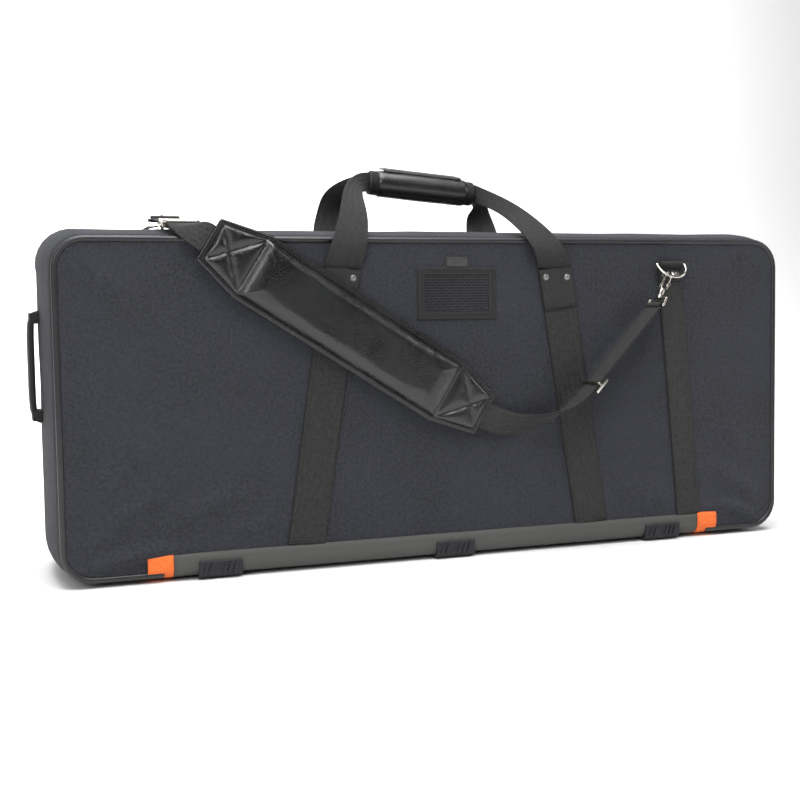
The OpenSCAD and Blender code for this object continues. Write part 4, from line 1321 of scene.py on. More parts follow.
@dataclass
class Shell:
    """The sewn body: face, band round the case, piping and the back hinge."""

    shape: CaseShape
    repeat: Repeater
    piping_r: float = 0.004
    cloth: float = 0.0013
    columns: int = 330
    rows: int = 140

    def face_panel(self) -> Obj:
        """Builds the face, with its soft folds."""
        s = self.shape
        inset = 0.0035
        verts, index = [], []
        for i in range(self.rows + 1):
            t = i / self.rows
            t -= 0.04 * math.sin(TURN * t)
            z_full = s.low + inset + t * (s.top - s.low - 2 * inset)
            edge = min(z_full - s.low, s.top - z_full)
            half = s.half - inset
            if edge < s.corner:
                r = s.corner - inset
                half = s.half - s.corner + math.sqrt(max(0.0, r * r - (s.corner - edge) ** 2))
            for k in range(self.columns + 1):
                x = (2 * k / self.columns - 1) * half
                lift = smooth_step(0.408, 0.392, abs(x)) if abs(x) > 0.392 else 1.0
                floor = s.low + inset + lift * 0.022
                z = max(z_full, floor) if z_full < floor + 0.001 else z_full
                verts.append((x, s.skin(x, z), z))
            index.append(range(i * (self.columns + 1), (i + 1) * (self.columns + 1)))
        faces, uv = [], []
        for i in range(self.rows):
            for k in range(self.columns):
                corners = (index[i][k], index[i][k + 1], index[i + 1][k + 1], index[i + 1][k])
                faces.append(corners)
                uv.extend((verts[c][0], verts[c][2]) for c in corners)
        obj = MeshMaker.from_data("face_cloth", np.array(verts), faces, np.array(uv))
        return dress(obj, Finishes.SHELL, "case", "shell_fabric", "front_panel")

    def band(self) -> Obj:
        """Builds the crowned band of cloth along the base, ends and top."""
        s = self.shape
        ring = s.loop(0.0, s.low, s.top)
        outer, count = [], 22
        for x, z, ux, uz in ring:
            row = []
            for k in range(count + 1):
                y = s.band0 + (s.band1 - s.band0) * k / count
                swell = s.end_crown * abs(ux) + s.crown * max(uz, 0.0)
                rise = swell * s.crown_rise(y) if uz > -0.99 else 0.0
                seam = min(k, count - k) / count
                soft = noise.noise(Vector((x * 14, y * 14, z * 14))) * 0.0011 * smooth_step(0.0, 0.2, seam)
                if uz < -0.5:
                    soft *= 0.2
                tuck = -0.0012 * (1 - smooth_step(0.0, 0.06, seam))
                out = rise + soft + tuck
                row.append((x + ux * out, y, z + uz * out))
            for k in (count, 0):
                y = s.band0 + (s.band1 - s.band0) * k / count
                row.append((x - ux * self.cloth, y, z - uz * self.cloth))
            outer.append(row)
        obj = MeshMaker.loft("side_band_cloth", np.array(outer), True, True, False)
        return dress(obj, Finishes.SHELL, "case", "shell_fabric", "main_gusset")

    def piping(self) -> Obj:
        """Builds the round piping, which the base cover hides between its bands."""
        s = self.shape
        ring = s.loop(self.piping_r, s.low, s.top)
        y = s.face + 0.0015
        path = [(x, y, z) for x, z, _, _ in ring if not (z < s.low + 0.006 and abs(x) < 0.388)]
        start = max(range(len(path)), key=lambda i: math.dist(path[i], path[i - 1]))
        path = path[start:] + path[:start]
        obj = self.repeat.cord("front_piping_cord", [path], self.piping_r, 18, Finishes.PIPING.material)
        return dress(obj, Finishes.PIPING, "case", "piping", "front_piping")

    def seam(self) -> Obj:
        """Builds the sewn line beside the piping, on the band."""
        s = self.shape
        ring = s.loop(-0.0004, s.low, s.top)
        path = []
        for x, z, ux, uz in ring:
            if uz > -0.6:
                rise = (s.end_crown * abs(ux) + s.crown * max(uz, 0.0)) * s.crown_rise(s.band0 + 0.006)
                path.append((x + ux * rise, s.band0 + 0.006, z + uz * rise))
        start = max(range(len(path)), key=lambda i: math.dist(path[i], path[i - 1]))
        path = path[start:] + path[:start]
        piece = Stitch(0.0030, 0.00035).piece()
        obj = self.repeat.along("piping_stitches", [path], piece, 0.0042, Finishes.THREAD.material)
        return dress(obj, Finishes.THREAD, "case", "webbing")

    def build(self) -> None:
        """Builds the sewn body and dresses the boards inside it."""
        self.face_panel()
        self.band()
        self.piping()
        self.seam()
        hinge = MeshMaker.refined("hinge_roll", "sewn_hinge", 0.0)
        dress(hinge, Finishes.BINDING, "case", "shell_fabric")
        for node in ("front_foam", "top_foam", "bottom_foam", "end_foams", "corner_foams"):
            dress_node(node, Finishes.FOAM)
        lining = MeshMaker.refined("body_lining", "inner_lining", 0.0)
        dress(lining, Finishes.LINING, "case", "lining")


@dataclass
class Stitch:
    """One thread stitch: a short plump capsule lying along its own Z."""

    length: float = 0.0032
    radius: float = 0.0004

    def piece(self) -> Obj:
        """Returns the stitch as a small mesh object."""
        rings = []
        for z, r in ((-0.5, 0.3), (-0.32, 0.9), (0.0, 1.0), (0.32, 0.9), (0.5, 0.3)):
            rings.append([(x, y, z * self.length) for x, y in circle(self.radius * r, 6)])
        return MeshMaker.loft("stitch", np.array(rings))

    def sew(
        self, repeat: Repeater, name: str, rows: Sequence[Sequence[Point]],
        spacing: float, body: str, slot: str,
    ) -> Obj:
        """Sews rows of stitches through a piece.

        Args:
            repeat: what sets the copies.
            name: the new object's name.
            rows: the lines to sew along.
            spacing: distance between stitches.
            body: the body they ride on.
            slot: their material slot.

        Returns:
            The new object.
        """
        thread = Finishes.THREAD
        obj = repeat.along(name, rows, self.piece(), spacing, thread.material)
        return dress(obj, thread, body, slot)


@dataclass
class Underside:
    """The smooth cover under the front edge, its two bright bands and the feet."""

    shape: CaseShape
    repeat: Repeater
    half: float = 0.379
    band_w: float = 0.032
    roll: float = 0.016
    front: float = -0.1188
    bottom: float = 0.0045
    back: float = 0.1075
    top: float = 0.0345
    pitch: float = 0.320

    def profile(self, extra: float, lip: float) -> np.ndarray:
        """Returns the cover's section from its sewn top edge to its back edge.

        Args:
            extra: how far the layer lies outside the cover.
            lip: height of its top edge.

        Returns:
            Pairs of depth and height.
        """
        r = self.roll
        rows = [(self.shape.face - 0.0004, lip), (self.front + 0.0011 - extra, lip - 0.0010)]
        rows += [(self.front - extra, lip - 0.005), (self.front - extra, (lip + self.bottom + r) / 2)]
        for k in range(13):
            a = math.radians(180 + 90 * k / 12)
            y = self.front + r + (r + extra) * math.cos(a)
            rows.append((y, self.bottom + r + (r + extra) * math.sin(a)))
        rows += [(y, self.bottom - extra) for y in np.linspace(self.front + r + 0.02, self.back, 8)]
        return np.array(rows)

    def wrap(self, name: str, x0: float, x1: float, extra: float, steps: int) -> Obj:
        """Sweeps the section along the case between two places.

        Args:
            name: the object's name.
            x0: one end.
            x1: the other end.
            extra: how far the layer lies outside the cover.
            steps: sections along it.

        Returns:
            The new object.
        """
        section = self.profile(extra, self.top + (0.001 if extra else 0))
        thick = 0.0010
        rings = []
        for x in np.linspace(x0, x1, steps):
            outer = [(x, y, z) for y, z in section]
            inner = [
                (x, y + (thick if i < 9 else 0), z + (thick if i >= 9 else 0))
                for i, (y, z) in enumerate(section)
            ]
            wave = 0.0006 * noise.noise(Vector((x * 13, 4.0, 0.0)))
            outer = [
                (a, b - wave * math.sin(math.pi * min(1, i / 12)), c)
                for i, (a, b, c) in enumerate(outer)
            ]
            rings.append(outer + inner[::-1])
        width = len(section)
        across = lengths(np.array([(0, y, z) for y, z in section]))
        round_it = np.concatenate([across, across[::-1]])[: 2 * width]
        return MeshMaker.loft(name, np.array(rings), True, False, True, round_it)

    def feet(self) -> Obj:
        """Builds the moulded feet that curl up over the front edge."""
        parts = []
        front = self.front
        section = [
            (0.0712, 0.0), (0.0712, 0.0040), (0.0700, 0.0045), (front + 0.020, 0.0045),
            (front + 0.010, 0.0050), (front + 0.003, 0.0085), (front - 0.0002, 0.014),
            (front - 0.0004, 0.0225), (front - 0.0010, 0.0240), (front - 0.0024, 0.0240),
            (front - 0.0032, 0.0228), (front - 0.0031, 0.012),
            (front - 0.0018, 0.0055), (front + 0.004, 0.0012), (front + 0.012, 0.0),
        ]
        for k in (-1, 0, 1):
            w = 0.0275
            rings = []
            for x, shrink in ((-w, 0.0008), (-w + 0.0007, 0.0), (0.0, 0.0), (w - 0.0007, 0.0), (w, 0.0008)):
                centre = np.mean(section, axis=0)
                rings.append(
                    [
                        (
                            k * self.pitch + x,
                            y + shrink * np.sign(centre[0] - y),
                            max(0.0, z + shrink * np.sign(0.003 - z) * 0.5),
                        )
                        for y, z in section
                    ]
                )
            parts.append(MeshMaker.loft("foot", np.array(rings)))
        obj = MeshMaker.join("moulded_feet", parts)
        obj.data.shade_smooth()
        obj.data.set_sharp_from_angle(angle=math.radians(32))
        return dress(obj, Finishes.FOOT, "case", "foot_plastic", "runner_feet")

    def ribs(self) -> Obj:
        """Sets slanted grip ribs on the front of every foot."""
        rings = []
        for z, w in ((-0.0072, 0.5), (-0.0064, 1.0), (0.0064, 1.0), (0.0072, 0.5)):
            d = 0.0023 * w
            rings.append([(-0.0021 * w, 0, z), (0.0021 * w, 0, z), (0.0016 * w, -d, z), (-0.0016 * w, -d, z)])
        rib = MeshMaker.loft("rib", np.array(rings))
        spots, turns = [], []
        for k in (-1, 0, 1):
            for dx in (-0.019, -0.012, 0.005, 0.012, 0.019):
                spots.append((k * self.pitch + dx, self.front - 0.0028, 0.0145))
                turns.append((0.0, math.radians(20), 0.0))
        obj = self.repeat.at("foot_ribs", spots, turns, rib, Finishes.FOOT.material)
        return dress(obj, Finishes.FOOT, "case", "foot_plastic")

    def screws(self) -> Obj:
        """Sets a cross-slotted screw in each hole of the feet."""
        rings = []
        shank = ((0.002, 0.0014), (0.0, 0.0016), (0.0, 0.0043))
        for z, r in shank + ((-0.0008, 0.0045), (-0.0014, 0.0036), (-0.0015, 0.0010)):
            turn = np.linspace(0, TURN, 16, endpoint=False)
            notch = [0.86 if z < -0.0013 and i % 4 == 0 else 1 for i in range(len(turn))]
            rings.append([(r * math.cos(a) * cut, r * math.sin(a), z) for a, cut in zip(turn, notch)])
        screw = MeshMaker.loft("screw", np.array(rings))
        depths = [self.front + share * 0.190 for share in (0.22, 0.78)]
        spots = [(k * self.pitch, y, 0.0025) for k in (-1, 0, 1) for y in depths]
        obj = self.repeat.at("foot_screw_heads", spots, [(0, 0, 0)] * 6, screw, Finishes.RIVET.material)
        return dress(obj, Finishes.RIVET, "case", "nickel", "foot_screws")

    def build(self) -> None:
        """Builds the cover, the bands and the feet."""
        cover = self.wrap("base_cover", -self.half, self.half, 0.0, 90)
        dress(cover, Finishes.WEAR, "case", "wear_vinyl", "wear_panel")
        sides = [
            self.wrap("band", sx * self.half, sx * (self.half + self.band_w), 0.0004, 7) for sx in (-1, 1)
        ]
        for side in sides:
            MeshMaker.face_outwards(side)
        bands = MeshMaker.join("orange_webbing_bands", sides)
        bands.data.shade_smooth()
        dress(bands, Finishes.ORANGE, "case", "orange_webbing", "orange_bands")
        self.feet()
        self.ribs()
        self.screws()


# ---- Webbing on the case ----


@dataclass
class FaceWebbing:
    """The leaning handle webbing, the ring webbing and their stitching.

    Attributes:
        wide: width of the handle webbing.
        narrow: width of the ring webbing.
        thick: thickness of one layer.
        seam_z: height of the line where the handle straps leave the face.
        low_z: height where the webbing ends at the base cover.
    """

    shape: CaseShape
    repeat: Repeater
    wide: float = 0.050
    narrow: float = 0.038
    thick: float = 0.0019
    seam_z: float = 0.390
    low_z: float = 0.0335
    top_x: float = 0.152
    low_x: float = 0.207
    ring_x: float = 0.333
    ring_low_x: float = 0.365
    fold: float = 0.056

    def band(
        self, name: str, x_top: float, z_top: float, x_low: float, z_low: float, wide: float, layer: float
    ) -> Obj:
        """Lays one band on the cloth of the face.

        Args:
            name: the object's name.
            x_top: where its middle is at the top.
            z_top: height of its top end.
            x_low: where its middle is at the bottom.
            z_low: height of its bottom end.
            wide: its width.
            layer: how many layers lie under it.

        Returns:
            The new object.
        """
        count = max(6, int((z_top - z_low) / 0.005))
        t = np.linspace(0, 1, count)
        x = x_top + (x_low - x_top) * t
        z = z_top + (z_low - z_top) * t
        lean = unit((x_low - x_top, 0, z_low - z_top))
        half = np.array([-lean[2], 0, lean[0]]) * wide / 2
        puff, third = self.shape.puff, wide / 3
        rise = [max(puff(a, b), puff(a - third, b), puff(a + third, b), 0) for a, b in zip(x, z)]
        soft = [0.0003 * noise.noise(Vector((a * 20, layer * 5, b * 26))) for a, b in zip(x, z)]
        y = [self.shape.face - r - self.thick * (0.5 + layer) - s - 0.0001 for r, s in zip(rise, soft)]
        return MeshMaker.ribbon(name, np.stack([x, y, z], 1), np.tile(half, (count, 1)), self.thick)

    def rows(
        self, x_top: float, z_top: float, x_low: float, z_low: float, offset: float, layer: float
    ) -> list[Point]:
        """Returns a stitch row beside a band's middle, on its surface."""
        lean = unit((x_low - x_top, 0, z_low - z_top))
        out = []
        for t in np.linspace(0, 1, max(3, int(abs(z_top - z_low) / 0.006))):
            x, z = x_top + (x_low - x_top) * t, z_top + (z_low - z_top) * t
            rise = max(self.shape.puff(x, z), 0)
            y = self.shape.face - rise - self.thick * layer - 0.0003
            out.append((x - lean[2] * offset, y, z + lean[0] * offset))
        return out

    def at_height(self, side: float, z: float) -> float:
        """Returns the middle of a handle band at a height."""
        share = (self.seam_z - z) / (self.seam_z - self.low_z)
        return side * (self.top_x + (self.low_x - self.top_x) * share)

    def stitches(self) -> Obj:
        """Sews the bands: two edge rows, the folded end's box and cross, and the low end."""
        rows = []
        edge = self.wide / 2 - 0.0028
        for side in (-1, 1):
            top, low = self.at_height(side, self.seam_z), self.at_height(side, self.low_z)
            for e in (-edge, edge):
                rows.append(self.rows(top, self.seam_z - self.fold, low, self.low_z + 0.002, e, 1)[1:])
            z0, z1 = self.seam_z - self.fold + 0.004, self.seam_z - 0.024
            a, b = self.at_height(side, z1), self.at_height(side, z0)
            for e in (-edge, edge):
                rows.append(self.rows(a, z1, b, z0, e, 2))
            for za in (z0, z1, z0 + 0.0035):
                xa = self.at_height(side, za)
                y = self.shape.face - self.thick * 2 - 0.0004 - max(0, self.shape.puff(xa, za))
                rows.append([(xa - edge, y, za), (xa, y, za), (xa + edge, y, za)])
            y = self.shape.face - self.thick * 2 - 0.0004 - max(0, self.shape.puff(a, z1))
            rows.append([(a - edge, y, z1), ((a + b) / 2, y, (z0 + z1) / 2), (b + edge, y, z0)])
            rows.append([(a + edge, y, z1), ((a + b) / 2, y, (z0 + z1) / 2), (b - edge, y, z0)])
            for dz in (0.004, 0.0075):
                xa = self.at_height(side, self.low_z + dz)
                y = self.shape.face - self.thick - 0.0004 - max(0, self.shape.puff(xa, self.low_z + dz))
                rows.append([(xa - edge, y, self.low_z + dz), (xa + edge, y, self.low_z + dz)])
        edge = self.narrow / 2 - 0.0026
        for e in (-edge, edge):
            rows.append(self.rows(self.ring_x, 0.388, self.ring_low_x, self.low_z + 0.002, e, 1))
        for dz in (0.362, 0.366):
            x = self.ring_x + 0.002
            y = self.shape.face - 2 * self.thick - 0.0006
            rows.append([(x - edge + 0.001, y, dz + 0.006), (x + edge - 0.001, y, dz + 0.006)])
        return Stitch(0.0030, 0.00042).sew(self.repeat, "webbing_stitches", rows, 0.0039, "case", "webbing")

    def rivet_domes(self) -> Obj:
        """Sets the domed rivets of the handle straps and of the ring's tail."""
        rings = []
        rim = ((0.0, 0.0046), (-0.0004, 0.0046))
        crown = ((-0.0005, 0.0039), (-0.0012, 0.0035), (-0.0018, 0.0026), (-0.0021, 0.0014))
        for z, r in rim + crown:
            turn = np.linspace(0, TURN, 24, endpoint=False)
            rings.append([(r * math.cos(a), z, r * math.sin(a)) for a in turn])
        dome = MeshMaker.loft("dome", np.array(rings))
        spots = []
        z = self.seam_z - 0.013
        for side in (-1, 1):
            for k in (-1, 1):
                x = self.at_height(side, z) + k * 0.016
                y = self.shape.face - 2 * self.thick - max(0, self.shape.puff(x, z)) - 0.0002
                spots.append((x, y, z))
        for k in (-1, 1):
            spots.append((self.ring_x + k * 0.010 + 0.0012, -0.1190, 0.380))
        obj = self.repeat.at("rivet_domes", spots, [(0, 0, 0)] * len(spots), dome, Finishes.RIVET.material)
        return dress(obj, Finishes.RIVET, "case", "nickel", "rivets")

    def build(self) -> None:
        """Lays and sews every band on the face and on the top."""
        for side, word in ((-1, "left"), (1, "right")):
            layers = []
            for layer, end in enumerate((self.low_z, self.seam_z - self.fold)):
                top, low = self.at_height(side, self.seam_z), self.at_height(side, end)
                layers.append(self.band(f"layer_{layer}", top, self.seam_z, low, end, self.wide, layer))
            both = MeshMaker.join(f"handle_band_{word}", layers)
            both.data.shade_smooth()
            dress(both, Finishes.WEBBING, "case", "webbing", f"handle_webbing_{word}")
        ring = self.band("ring_band", self.ring_x, 0.394, self.ring_low_x, self.low_z, self.narrow, 0)
        dress(ring, Finishes.STRAP_WEB, "case", "webbing", "ring_webbing")
        folds = {
            "rear_handle_webbings": "rear_webbing_patches",
            "front_ring_loop": "front_ring_fold",
            "rear_ring_loop": "rear_ring_fold",
        }
        for node, name in folds.items():
            piece = MeshMaker.refined(node, name, 0.0003, 1)
            dress(piece, Finishes.STRAP_WEB, "case", "webbing")
        self.stitches()
        self.rivet_domes()


@dataclass
class CarryHandle:
    """The four free straps, the leather roll and its flap.

    Attributes:
        sides: faces round the leather roll.
        length: length of the leather roll.
        radius: its radius.
        height: height of its axis.
        depth: depth of its axis.
        tilt: how far its right end hangs lower, in degrees.
    """

    shape: CaseShape
    repeat: Repeater
    length: float = 0.140
    radius: float = 0.019
    height: float = 0.506
    depth: float = -0.004
    tilt: float = 5.0
    sides: int = 64
    core: float = 0.0167
    core_length: float = 0.156
    seam_z: float = 0.390
    top_x: float = 0.152
    rear_x: float = 0.118
    lean: float = math.atan(0.055 / 0.3552)
    thick: float = 0.0020

    def turn(self, points: np.ndarray) -> np.ndarray:
        """Takes points from the roll's own frame, along X, to the case."""
        return tilted(points, self.tilt, (0, self.depth, self.height))

    def strap_path(self, side: float, front: float) -> tuple[np.ndarray, np.ndarray]:
        """Returns a free strap's middle line and its half-width vectors.

        Args:
            side: -1 for the left strap, 1 for the right one.
            front: 1 for a front strap, -1 for a rear one.

        Returns:
            The points and the half-width vectors.
        """
        a = math.radians(self.tilt)
        reach = self.core_length / 2 + 0.0008
        y = self.depth - front * self.core / 2
        end = np.array([side * reach * math.cos(a), y, self.height - side * reach * math.sin(a)])
        if front > 0:
            start = np.array([side * self.top_x, -0.1180, self.seam_z])
            rise = np.array([0.014, -0.045, 0.070] if side < 0 else [-0.030, -0.045, 0.050])
            bend = end + np.array([-0.046, -0.034, 0.004] if side < 0 else [0.030, -0.034, -0.018])
            across = np.array([0.025 / math.cos(self.lean), 0, 0])
        else:
            start = np.array([side * self.rear_x, 0.048, self.shape.top_z(0.048) + 0.0034])
            rise = np.array([-side * 0.004, 0.020, 0.034])
            bend = end + np.array([side * 0.044, 0.044, 0.0 if side < 0 else -0.008])
            across = np.array([0.025, 0, 0])
        points, halves = [], []
        for t in np.linspace(0, 1, 46):
            p = bezier(start, start + rise, bend, end, t)
            s = t**1.4
            half = across * (1 - s) + side * -np.array([0, front * 0.002, -self.core * 0.75]) * s
            swing = 0.0014 * math.sin(t * 9 + side) * math.sin(math.pi * t)
            points.append(p + np.array([swing, 0, 0]))
            halves.append(half)
        return np.array(points), np.array(halves)

    def straps(self) -> None:
        """Builds the free straps, which bend between the case and the grip."""
        for side, word in ((-1, "left"), (1, "right")):
            for front, end in ((1, "front"), (-1, "rear")):
                points, halves = self.strap_path(side, front)
                obj = MeshMaker.ribbon(f"{end}_handle_strap_{word}", points, halves, self.thick)
                obj.data.materials.append(Finishes.WEBBING.material)
                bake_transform(obj)
                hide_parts(f"{end}_strap_{word}")

    def roll(self) -> Obj:
        """Builds the stuffed leather roll with puckered ends."""
        rings = []
        half = self.length / 2
        for t in np.linspace(-1, 1, 97):
            end = smooth_step(0.86, 1.0, abs(t))
            belly = 1.0 - 0.03 * t * t - 0.20 * end**2
            row = []
            for k in range(self.sides):
                a = TURN * k / self.sides
                pucker = 1 - 0.035 * end * max(0, math.sin(a * 13 + 1)) ** 2
                dent = 1 + 0.012 * noise.noise(Vector((t * 3.2, math.cos(a) * 1.3, math.sin(a) * 1.3)))
                crease = 1 - 0.010 * math.exp(-(((a - 4.05 + 0.1 * math.sin(t * 3)) / 0.06) ** 2))
                r = self.radius * belly * pucker * min(dent, 1.0) * crease
                row.append((t * half, r * math.cos(a), r * math.sin(a)))
            rings.append(row)
        inner = [(1.0, 0.86), (0.985, 0.80), (0.97, 0.80)]
        for t, r in inner:
            rings.append([(t * half, y, z) for y, z in circle(self.radius * r, self.sides)])
        for t, r in inner[::-1]:
            rings.insert(0, [(-t * half, y, z) for y, z in circle(self.radius * r, self.sides)])
        obj = MeshMaker.loft("leather_roll", self.turn(np.array(rings)), True, False, False)
        dress(obj, Finishes.LEATHER, "grip", "leather", "grip_wrap")
        return obj

    def seams(self) -> Obj:
        """Sews the roll's long seam on its lower front."""
        rows = []
        for a in (-2.30, -2.18):
            y, z = self.radius * math.cos(a), self.radius * math.sin(a)
            rows.append([(x, y, z) for x in np.linspace(-0.058, 0.058, 60)])
        rows = [self.turn(np.array(row)) for row in rows]
        return Stitch(0.0032, 0.0004).sew(self.repeat, "roll_stitches", rows, 0.0042, "grip", "leather")

    def flap(self) -> Obj:
        """Builds the leather flap that lies over the roll."""
        half_l, front, back, lift = 0.058, 0.008, 0.024, self.radius + 0.0003
        rings = []
        for x in np.linspace(-1, 1, 41):
            row = []
            corner = smooth_step(0.93, 1.0, abs(x))
            for side in (1, -1):
                span = np.linspace(0, 1, 17)
                for t in span if side > 0 else span[::-1]:
                    y = -front + 0.003 * corner + (front + back - 0.006 * corner) * t
                    rim = smooth_step(0.0, 0.08, min(t, 1 - t)) * (1 - 0.5 * corner)
                    sag = -0.0002 * abs(math.sin(x * 5))
                    lie = math.sqrt(lift**2 - min(y, 0.0) ** 2) - 0.0002
                    z = lie + (0.0026 * (0.45 + 0.55 * rim) + sag if side > 0 else 0.0)
                    row.append((x * half_l, y, z))
            rings.append(row)
        points = np.array(rings)
        a = math.radians(10)
        y, z = points[..., 1].copy(), points[..., 2].copy()
        points[..., 1], points[..., 2] = y * math.cos(a) - z * math.sin(a), y * math.sin(a) + z * math.cos(a)
        obj = MeshMaker.loft("grip_flap_leather", self.turn(points))
        return dress(obj, Finishes.FLAP, "flap", "leather", "grip_flap")

    def flap_stitches(self) -> Obj:
        """Sews round the flap's edge."""
        a = math.radians(10)
        z = self.radius + 0.0030
        end, front, back = 0.0545, -0.0050, 0.0205
        corners = [(-end, front), (end, front), (end, back), (-end, back), (-end, front)]
        path = [(x, y * math.cos(a) - z * math.sin(a), y * math.sin(a) + z * math.cos(a)) for x, y in corners]
        row = self.turn(respaced(path, 120))
        return Stitch(0.0028, 0.00036).sew(self.repeat, "flap_stitches", [row], 0.0038, "flap", "leather")

    def build(self) -> None:
        """Builds the whole carry handle."""
        self.straps()
        core = MeshMaker.refined("grip_core", "grip_core_roll", 0.002)
        dress(core, Finishes.WEBBING, "grip", "webbing")
        self.roll()
        self.seams()
        self.flap()
        self.flap_stitches()


@dataclass
class NamePocket:
    """The netted card pocket with its bound frame and grey tab."""

    shape: CaseShape
    repeat: Repeater
    x: float = 0.008
    z: float = 0.356
    wide: float = 0.113
    tall: float = 0.070
    rim: float = 0.011
    cell: float = 0.0046

    def frame_band(self) -> Obj:
        """Builds the ribbed binding round the pocket."""
        half = ((0.0, 0.0), (0.0, 0.0011), (0.08, 0.0019), (0.3, 0.0021))
        w, h, r = self.wide / 2, self.tall / 2, self.rim
        rings = []
        corners = [(-1, -1), (1, -1), (1, 1), (-1, 1)]
        for i, (sx, sz) in enumerate(corners):
            nx, nz = corners[(i + 1) % 4]
            steps = 40
            for k in range(steps):
                t = k / steps
                ox, oz = (sx + (nx - sx) * t) * w, (sz + (nz - sz) * t) * h
                ix, iz = (sx + (nx - sx) * t) * (w - r), (sz + (nz - sz) * t) * (h - r)
                row = []
                for share, lift in half + ((0.5, 0.0018),) + tuple((1 - a, b) for a, b in half[::-1]):
                    x, z = ox + (ix - ox) * share, oz + (iz - oz) * share
                    soft = 0.00012 * noise.noise(Vector((x * 300, z * 300, 1)))
                    puff = max(0, self.shape.puff(self.x + x, self.z + z))
                    row.append((self.x + x, self.shape.face - puff * 0.4 - lift - soft, self.z + z))
                rings.append(row)
        obj = MeshMaker.loft("pocket_binding", np.array(rings), True, True, False)
        return dress(obj, Finishes.BINDING, "case", "binding", "pocket_frame")

    def net(self) -> Obj:
        """Knots the net from six-sided cells, each an instance of one ring."""
        r = self.cell / 2
        outer, inner, low = r * 1.05, r * 0.80, 0.0004
        rings = []
        for k in range(6):
            a = math.radians(60 * k + 30)
            c, s = math.cos(a), math.sin(a)
            middle = (outer + inner) / 2
            rings.append(
                [(outer * c, 0, outer * s), (middle * c, -low, middle * s), (inner * c, 0, inner * s)]
            )
        cell = MeshMaker.loft("net_cell", np.array(rings), True, True, False)
        spots = []
        step_x, step_z = self.cell * 0.90, self.cell * 0.78
        half_w, half_h = self.wide / 2 - self.rim + 0.001, self.tall / 2 - self.rim + 0.001
        for j in range(-int(half_h / step_z), int(half_h / step_z) + 1):
            for i in range(-int(half_w / step_x), int(half_w / step_x) + 1):
                x = (i + 0.5 * (j % 2)) * step_x
                if abs(x) < half_w:
                    z = j * step_z
                    sag = 0.0019 + 0.0004 * noise.noise(Vector((x * 40, 0, z * 40)))
                    spots.append((self.x + x, self.shape.face - sag, self.z + z))
        obj = self.repeat.at("pocket_netting", spots, [(0, 0, 0)] * len(spots), cell, Finishes.NET.material)
        return dress(obj, Finishes.NET, "case", "mesh", "pocket_mesh")

    def stitches(self) -> Obj:
        """Sews both edges of the binding."""
        rows = []
        y = self.shape.face - 0.0023
        for inset in (0.0022, self.rim - 0.0022):
            w, h = self.wide / 2 - inset, self.tall / 2 - inset
            turns = ((-1, -1), (1, -1), (1, 1), (-1, 1), (-1, -1))
            ring = [(self.x + a * w, y, self.z + b * h) for a, b in turns]
            rows.append(respaced(ring, 160))
        return Stitch(0.0026, 0.00034).sew(self.repeat, "pocket_stitches", rows, 0.0035, "case", "binding")

    def build(self) -> None:
        """Builds the pocket and its tab."""
        self.frame_band()
        self.net()
        self.stitches()
        lo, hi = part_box("pocket_tab")
        z = np.linspace(lo.z, hi.z, 14)
        x = (lo.x + hi.x) / 2
        centres = np.stack([np.full(14, x), np.full(14, (lo.y + hi.y) / 2) - 0.0002 * np.sin(z * 500), z], 1)
        across = np.tile([(hi.x - lo.x) / 2, 0, 0], (14, 1))
        tab = MeshMaker.ribbon("pocket_tab_webbing", centres, across, 0.0019)
        dress(tab, Finishes.GREY_TAB, "card_tab", "grey_webbing", "pocket_tab")


@dataclass
class SideHandle:
    """The arched webbing handle on the left end."""

    repeat: Repeater
    wide: float = 0.038
    middle: float = -0.00975

    def build(self) -> None:
        """Builds the arch, its sewn ends and its stitches."""
        lo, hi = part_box("side_handle_strap")
        out, wall = lo.x + 0.0042, -0.5250
        z0, z1 = lo.z, hi.z
        path = [(wall, z0 + 0.001), (wall - 0.0045, z0 + 0.0014), (out + 0.004, z0 + 0.004)]
        path += [(out + 0.0008, z0 + 0.012), (out, z0 + 0.030)]
        path += [(out, (z0 + z1) / 2)] + [(x, z0 + z1 - z) for x, z in path[::-1]]
        points = respaced([(x, self.middle, z) for x, z in path], 80)
        for _ in range(3):
            points[1:-1] = (points[:-2] + 2 * points[1:-1] + points[2:]) / 4
        halves = np.tile([0, self.wide / 2, 0], (80, 1))
        arch = MeshMaker.ribbon("side_handle_arch", points, halves, 0.0074)
        dress(arch, Finishes.STRAP_WEB, "case", "webbing", "side_handle_strap")
        pads = MeshMaker.refined("side_handle_ends", "side_handle_pads", 0.0010, 2)
        dress(pads, Finishes.BINDING, "case", "webbing")
        heights = np.linspace(z0 + 0.016, z1 - 0.016, 40)
        rows = [[(out - 0.0040, self.middle + edge, z) for z in heights] for edge in (-0.0165, 0.0165)]
        Stitch(0.003, 0.0004).sew(self.repeat, "side_handle_stitches", rows, 0.004, "case", "webbing")


# ---- Shoulder strap ----


